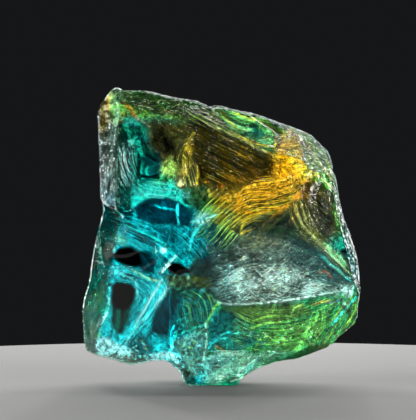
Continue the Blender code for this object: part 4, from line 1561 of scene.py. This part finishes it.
    def _colour(self, skin: Skin) -> None:
        """Lays the colour zones, streaks and specks on the points.

        Args:
            skin: The points to colour.
        """
        coarse = self._bent(skin, self.coarse_bend)
        fine = self._bent(skin, self.fine_bend)
        tint = np.ones((len(coarse), 3))
        through = self.back_colour + (1 - self.back_colour) * skin.facing(Side.FRONT)
        for mark in PATCHES_THROUGH:
            self._lay(tint, mark.hue, mark.cover(coarse) * mark.share * through)
        for mark in MARKS:
            if isinstance(mark, Specks):
                self._scatter(tint, skin, fine, mark)
            else:
                places = coarse if isinstance(mark, Patch) and mark.name not in WINDOWS else fine
                self._lay(tint, mark.hue, mark.cover(places) * mark.share * skin.facing(mark.side))
        skin.store("tint", np.column_stack((tint, np.ones(len(tint)))))

    def _lay_strands(self, skin: Skin) -> None:
        """Gives every point the strands of the flow that covers it most.

        Args:
            skin: The points.
        """
        coarse = self._bent(skin, self.coarse_bend)
        fine = self._bent(skin, self.fine_bend)
        flow = np.zeros((len(fine), 3))
        strand_tint = np.zeros((len(fine), 4))
        for number, strands in enumerate(FLOWS):
            cover = covered(strands.corners, strands.soft, coarse)
            share = cover * strands.share * skin.facing(strands.side)
            gap, along = from_line(fine, curved(strands.guide))
            wins = share > strand_tint[:, 3]
            across = gap * GRID_STEP / strands.spread * self.strand_across
            run = along * GRID_STEP * self.strand_along
            flow[wins] = np.column_stack((across, run, np.full(len(gap), self.strand_gap * number)))[wins]
            strand_tint[wins] = np.column_stack((np.tile(strands.hue.value, (len(gap), 1)), share))[wins]
        strand_tint[:, 3] *= self._plain(skin, fine)
        skin.store("flow", flow)
        skin.store("strand_tint", strand_tint)

    def _roughen(self, skin: Skin) -> None:
        """Keeps where the surface is mottled, scratched, grained and frosted, and where it carries the web of
        painted caustic light.

        Args:
            skin: The points.
        """
        places = self._bent(skin, self.coarse_bend)
        plain = self._plain(skin, self._bent(skin, self.fine_bend))
        front = skin.facing(Side.FRONT)
        mottled = self.back_mottle + (1 - self.back_mottle) * front
        skin.store("plain", plain)
        skin.store("lively", plain * mottled * (1 - self._most(CALM, skin, places)))
        for name, zones in (("scratched", SCRATCHED), ("web", CAUSTIC_WEBS), ("grain", GRAINED)):
            skin.store(name, self._most(zones, skin, places) * plain)
        skin.store("frost", self.rim.share(skin))

    @staticmethod
    def _most(zones: tuple[Zone, ...], skin: Skin, places: np.ndarray) -> np.ndarray:
        """Gives the largest share that any of the zones has at each point.

        Args:
            zones: The zones.
            skin: The points.
            places: Their places on the grid.

        Returns:
            The share of each point, 0 to 1.
        """
        return np.max([zone.cover(places) * zone.share * skin.facing(zone.side) for zone in zones], axis=0)

    @staticmethod
    def _plain(skin: Skin, places: np.ndarray) -> np.ndarray:
        """Works out how free each point is of the smooth dark and clear windows.

        Args:
            skin: The points.
            places: Their places on the grid.

        Returns:
            1 outside the windows, down to 0 in them.
        """
        plain = np.ones(len(places))
        for window in (mark for mark in MARKS if mark.name in WINDOWS):
            plain -= plain * window.cover(places) * skin.facing(window.side)
        return plain

    @staticmethod
    def _lay(tint: np.ndarray, hue: Hue, share: np.ndarray) -> None:
        """Lays a colour over the tint by its share at each point.

        Args:
            tint: The colours so far, which are changed.
            hue: The new colour.
            share: How far it covers each point.
        """
        tint += (np.array(hue.value) - tint) * share[:, None]

    def _scatter(self, tint: np.ndarray, skin: Skin, places: np.ndarray, specks: Specks) -> None:
        """Lays small spots at random over a patch.

        Args:
            tint: The colours so far, which are changed.
            skin: The points.
            places: Their places on the grid.
            specks: The spots to lay.
        """
        low, high = specks.box()
        close = np.all((places > low - specks.MARGIN) & (places < high + specks.MARGIN), axis=1)
        some = places[close]
        colours = tint[close]
        inside = covered(specks.corners, specks.EDGE, some) * skin.facing(specks.side)[close]
        for spot in specks.spots():
            self._lay(colours, spot.hue, spot.cover(some) * inside * spot.share)
        tint[close] = colours


@dataclass(frozen=True)
class Panel:
    """A flat soft light that points at the chunk, or straight up, in metres and watts."""

    name: str
    place: tuple[float, float, float]
    size: Point
    power: float
    points_up: bool = False


PANELS = (
    Panel("Back panel", (0.05, 0.50, 0.30), (1.0, 1.0), 4.6),
    Panel("Back strip left", (-0.20, 0.42, 0.22), (0.04, 0.5), 1.3),
    Panel("Back strip middle", (0.04, 0.48, 0.20), (0.03, 0.5), 0.9),
    Panel("Back strip right", (0.26, 0.42, 0.24), (0.04, 0.5), 0.9),
    Panel("Top strip", (0.02, 0.16, 0.50), (0.5, 0.04), 0.9),
    Panel("Right softbox", (0.38, 0.36, 0.24), (0.4, 0.5), 0.3),
    Panel("Left feather strip", (-0.45, -0.08, 0.18), (0.02, 0.26), 0.8),
)


@dataclass
class Studio:
    """The pale table, the soft lights and the camera. Lengths are in metres, and powers in watts."""

    aim: tuple[float, float, float] = (0, 0, 0.045)
    table_radius: float = 0.17
    table_thickness: float = 0.012
    table_sides: int = 96
    table_colour: Colour = (0.24, 0.24, 0.235)
    table_roughness: float = 0.8
    table_shine: float = 0.05
    room_colour: Colour = (0.008, 0.0084, 0.009)
    left_front: Point = (-0.50, -0.24)
    right_front: Point = (0.46, -0.36)
    right_lower: float = 0.03
    front_light_size: Point = (0.045, 0.045)
    front_light_power: float = 0.45
    front_light_rows: tuple[Point, ...] = ((0.08, 0.0), (0.20, 0.10), (0.34, -0.06))
    floor_strip_right: float = 0.02
    floor_strip_height: float = 0.003
    floor_strip_size: Point = (0.34, 0.035)
    floor_strip_rows: tuple[Point, ...] = ((0.07, 0.20), (0.14, 0.24), (0.23, 0.28))
    camera_distance: float = 0.8
    camera_height_degrees: float = 1.5
    picture_width: int = 416
    picture_height: int = 420
    sensor: float = 36.0

    def build(self) -> None:
        """Sets up the table, the lights, the room and the camera."""
        self._table()
        for panel in PANELS + tuple(self._small_lights()):
            self._light(panel)
        world = bpy.data.worlds.new("Studio")
        world.use_nodes = True
        world.node_tree.nodes["Background"].inputs["Color"].default_value = (*self.room_colour, 1)
        bpy.context.scene.world = world
        bpy.context.scene.view_settings.view_transform = "Standard"
        self._camera()

    def _table(self) -> None:
        """Makes the round, pale table top."""
        bpy.ops.object.select_all(action="DESELECT")
        bpy.ops.mesh.primitive_cylinder_add(vertices=self.table_sides, radius=self.table_radius,
                                            depth=self.table_thickness,
                                            location=(0, 0, -self.table_thickness / 2))
        table = bpy.context.active_object
        table.name = "table_top"
        material = bpy.data.materials.new("pale_table")
        material.use_nodes = True
        shader = material.node_tree.nodes["Principled BSDF"]
        shader.inputs["Base Color"].default_value = (*self.table_colour, 1)
        shader.inputs["Roughness"].default_value = self.table_roughness
        shader.inputs["Specular IOR Level"].default_value = self.table_shine
        table.data.materials.append(material)

    def _small_lights(self) -> Iterator[Panel]:
        """Lists the small lights in front, and the strips that lie behind the chunk.

        Yields:
            Each light.
        """
        for height, swing in self.front_light_rows:
            left = (self.left_front[0] + swing, self.left_front[1] + swing, height)
            right = (self.right_front[0] - swing, self.right_front[1] + swing, height - self.right_lower)
            for name, place in (("Left front light", left), ("Right front light", right)):
                yield Panel(name, place, self.front_light_size, self.front_light_power)
        for number, (distance, power) in enumerate(self.floor_strip_rows):
            place = (self.floor_strip_right, distance, self.floor_strip_height)
            yield Panel(f"Floor strip {number + 1}", place, self.floor_strip_size, power, points_up=True)

    def _light(self, panel: Panel) -> None:
        """Hangs a light, out of the camera's sight.

        Args:
            panel: The light.
        """
        light = bpy.data.lights.new(panel.name, "AREA")
        light.shape = "RECTANGLE"
        light.size, light.size_y = panel.size
        light.energy = panel.power
        lamp = bpy.data.objects.new(panel.name, light)
        bpy.context.collection.objects.link(lamp)
        lamp.location = panel.place
        lamp.rotation_euler = (Vector(self.aim) - Vector(panel.place)).to_track_quat("-Z", "Y").to_euler()
        if panel.points_up:
            lamp.rotation_euler = (math.pi, 0, 0)
        lamp.visible_camera = False

    def _camera(self) -> None:
        """Places the camera level with the chunk, as in the picture."""
        centre = Vector(((self.picture_width / 2 - GRID_COLUMN_AT_ZERO) * GRID_STEP * MM, 0,
                         (GRID_ROW_AT_ZERO - self.picture_height / 2) * GRID_STEP * MM))
        tilt = math.radians(self.camera_height_degrees)
        camera = bpy.data.objects.new("Camera", bpy.data.cameras.new("Camera"))
        bpy.context.collection.objects.link(camera)
        camera.location = centre + self.camera_distance * Vector((0, -math.cos(tilt), math.sin(tilt)))
        camera.rotation_euler = (centre - camera.location).to_track_quat("-Z", "Y").to_euler()
        seen = max(self.picture_width, self.picture_height) * GRID_STEP * MM
        camera.data.sensor_width = self.sensor
        camera.data.lens = self.sensor * self.camera_distance / seen
        bpy.context.scene.camera = camera


def main() -> None:
    """Builds the chunk and the studio."""
    logging.basicConfig(level=logging.INFO, format="%(message)s")
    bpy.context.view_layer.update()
    GlassChunk().build()
    Studio().build()


if __name__ == "__main__":
    main()
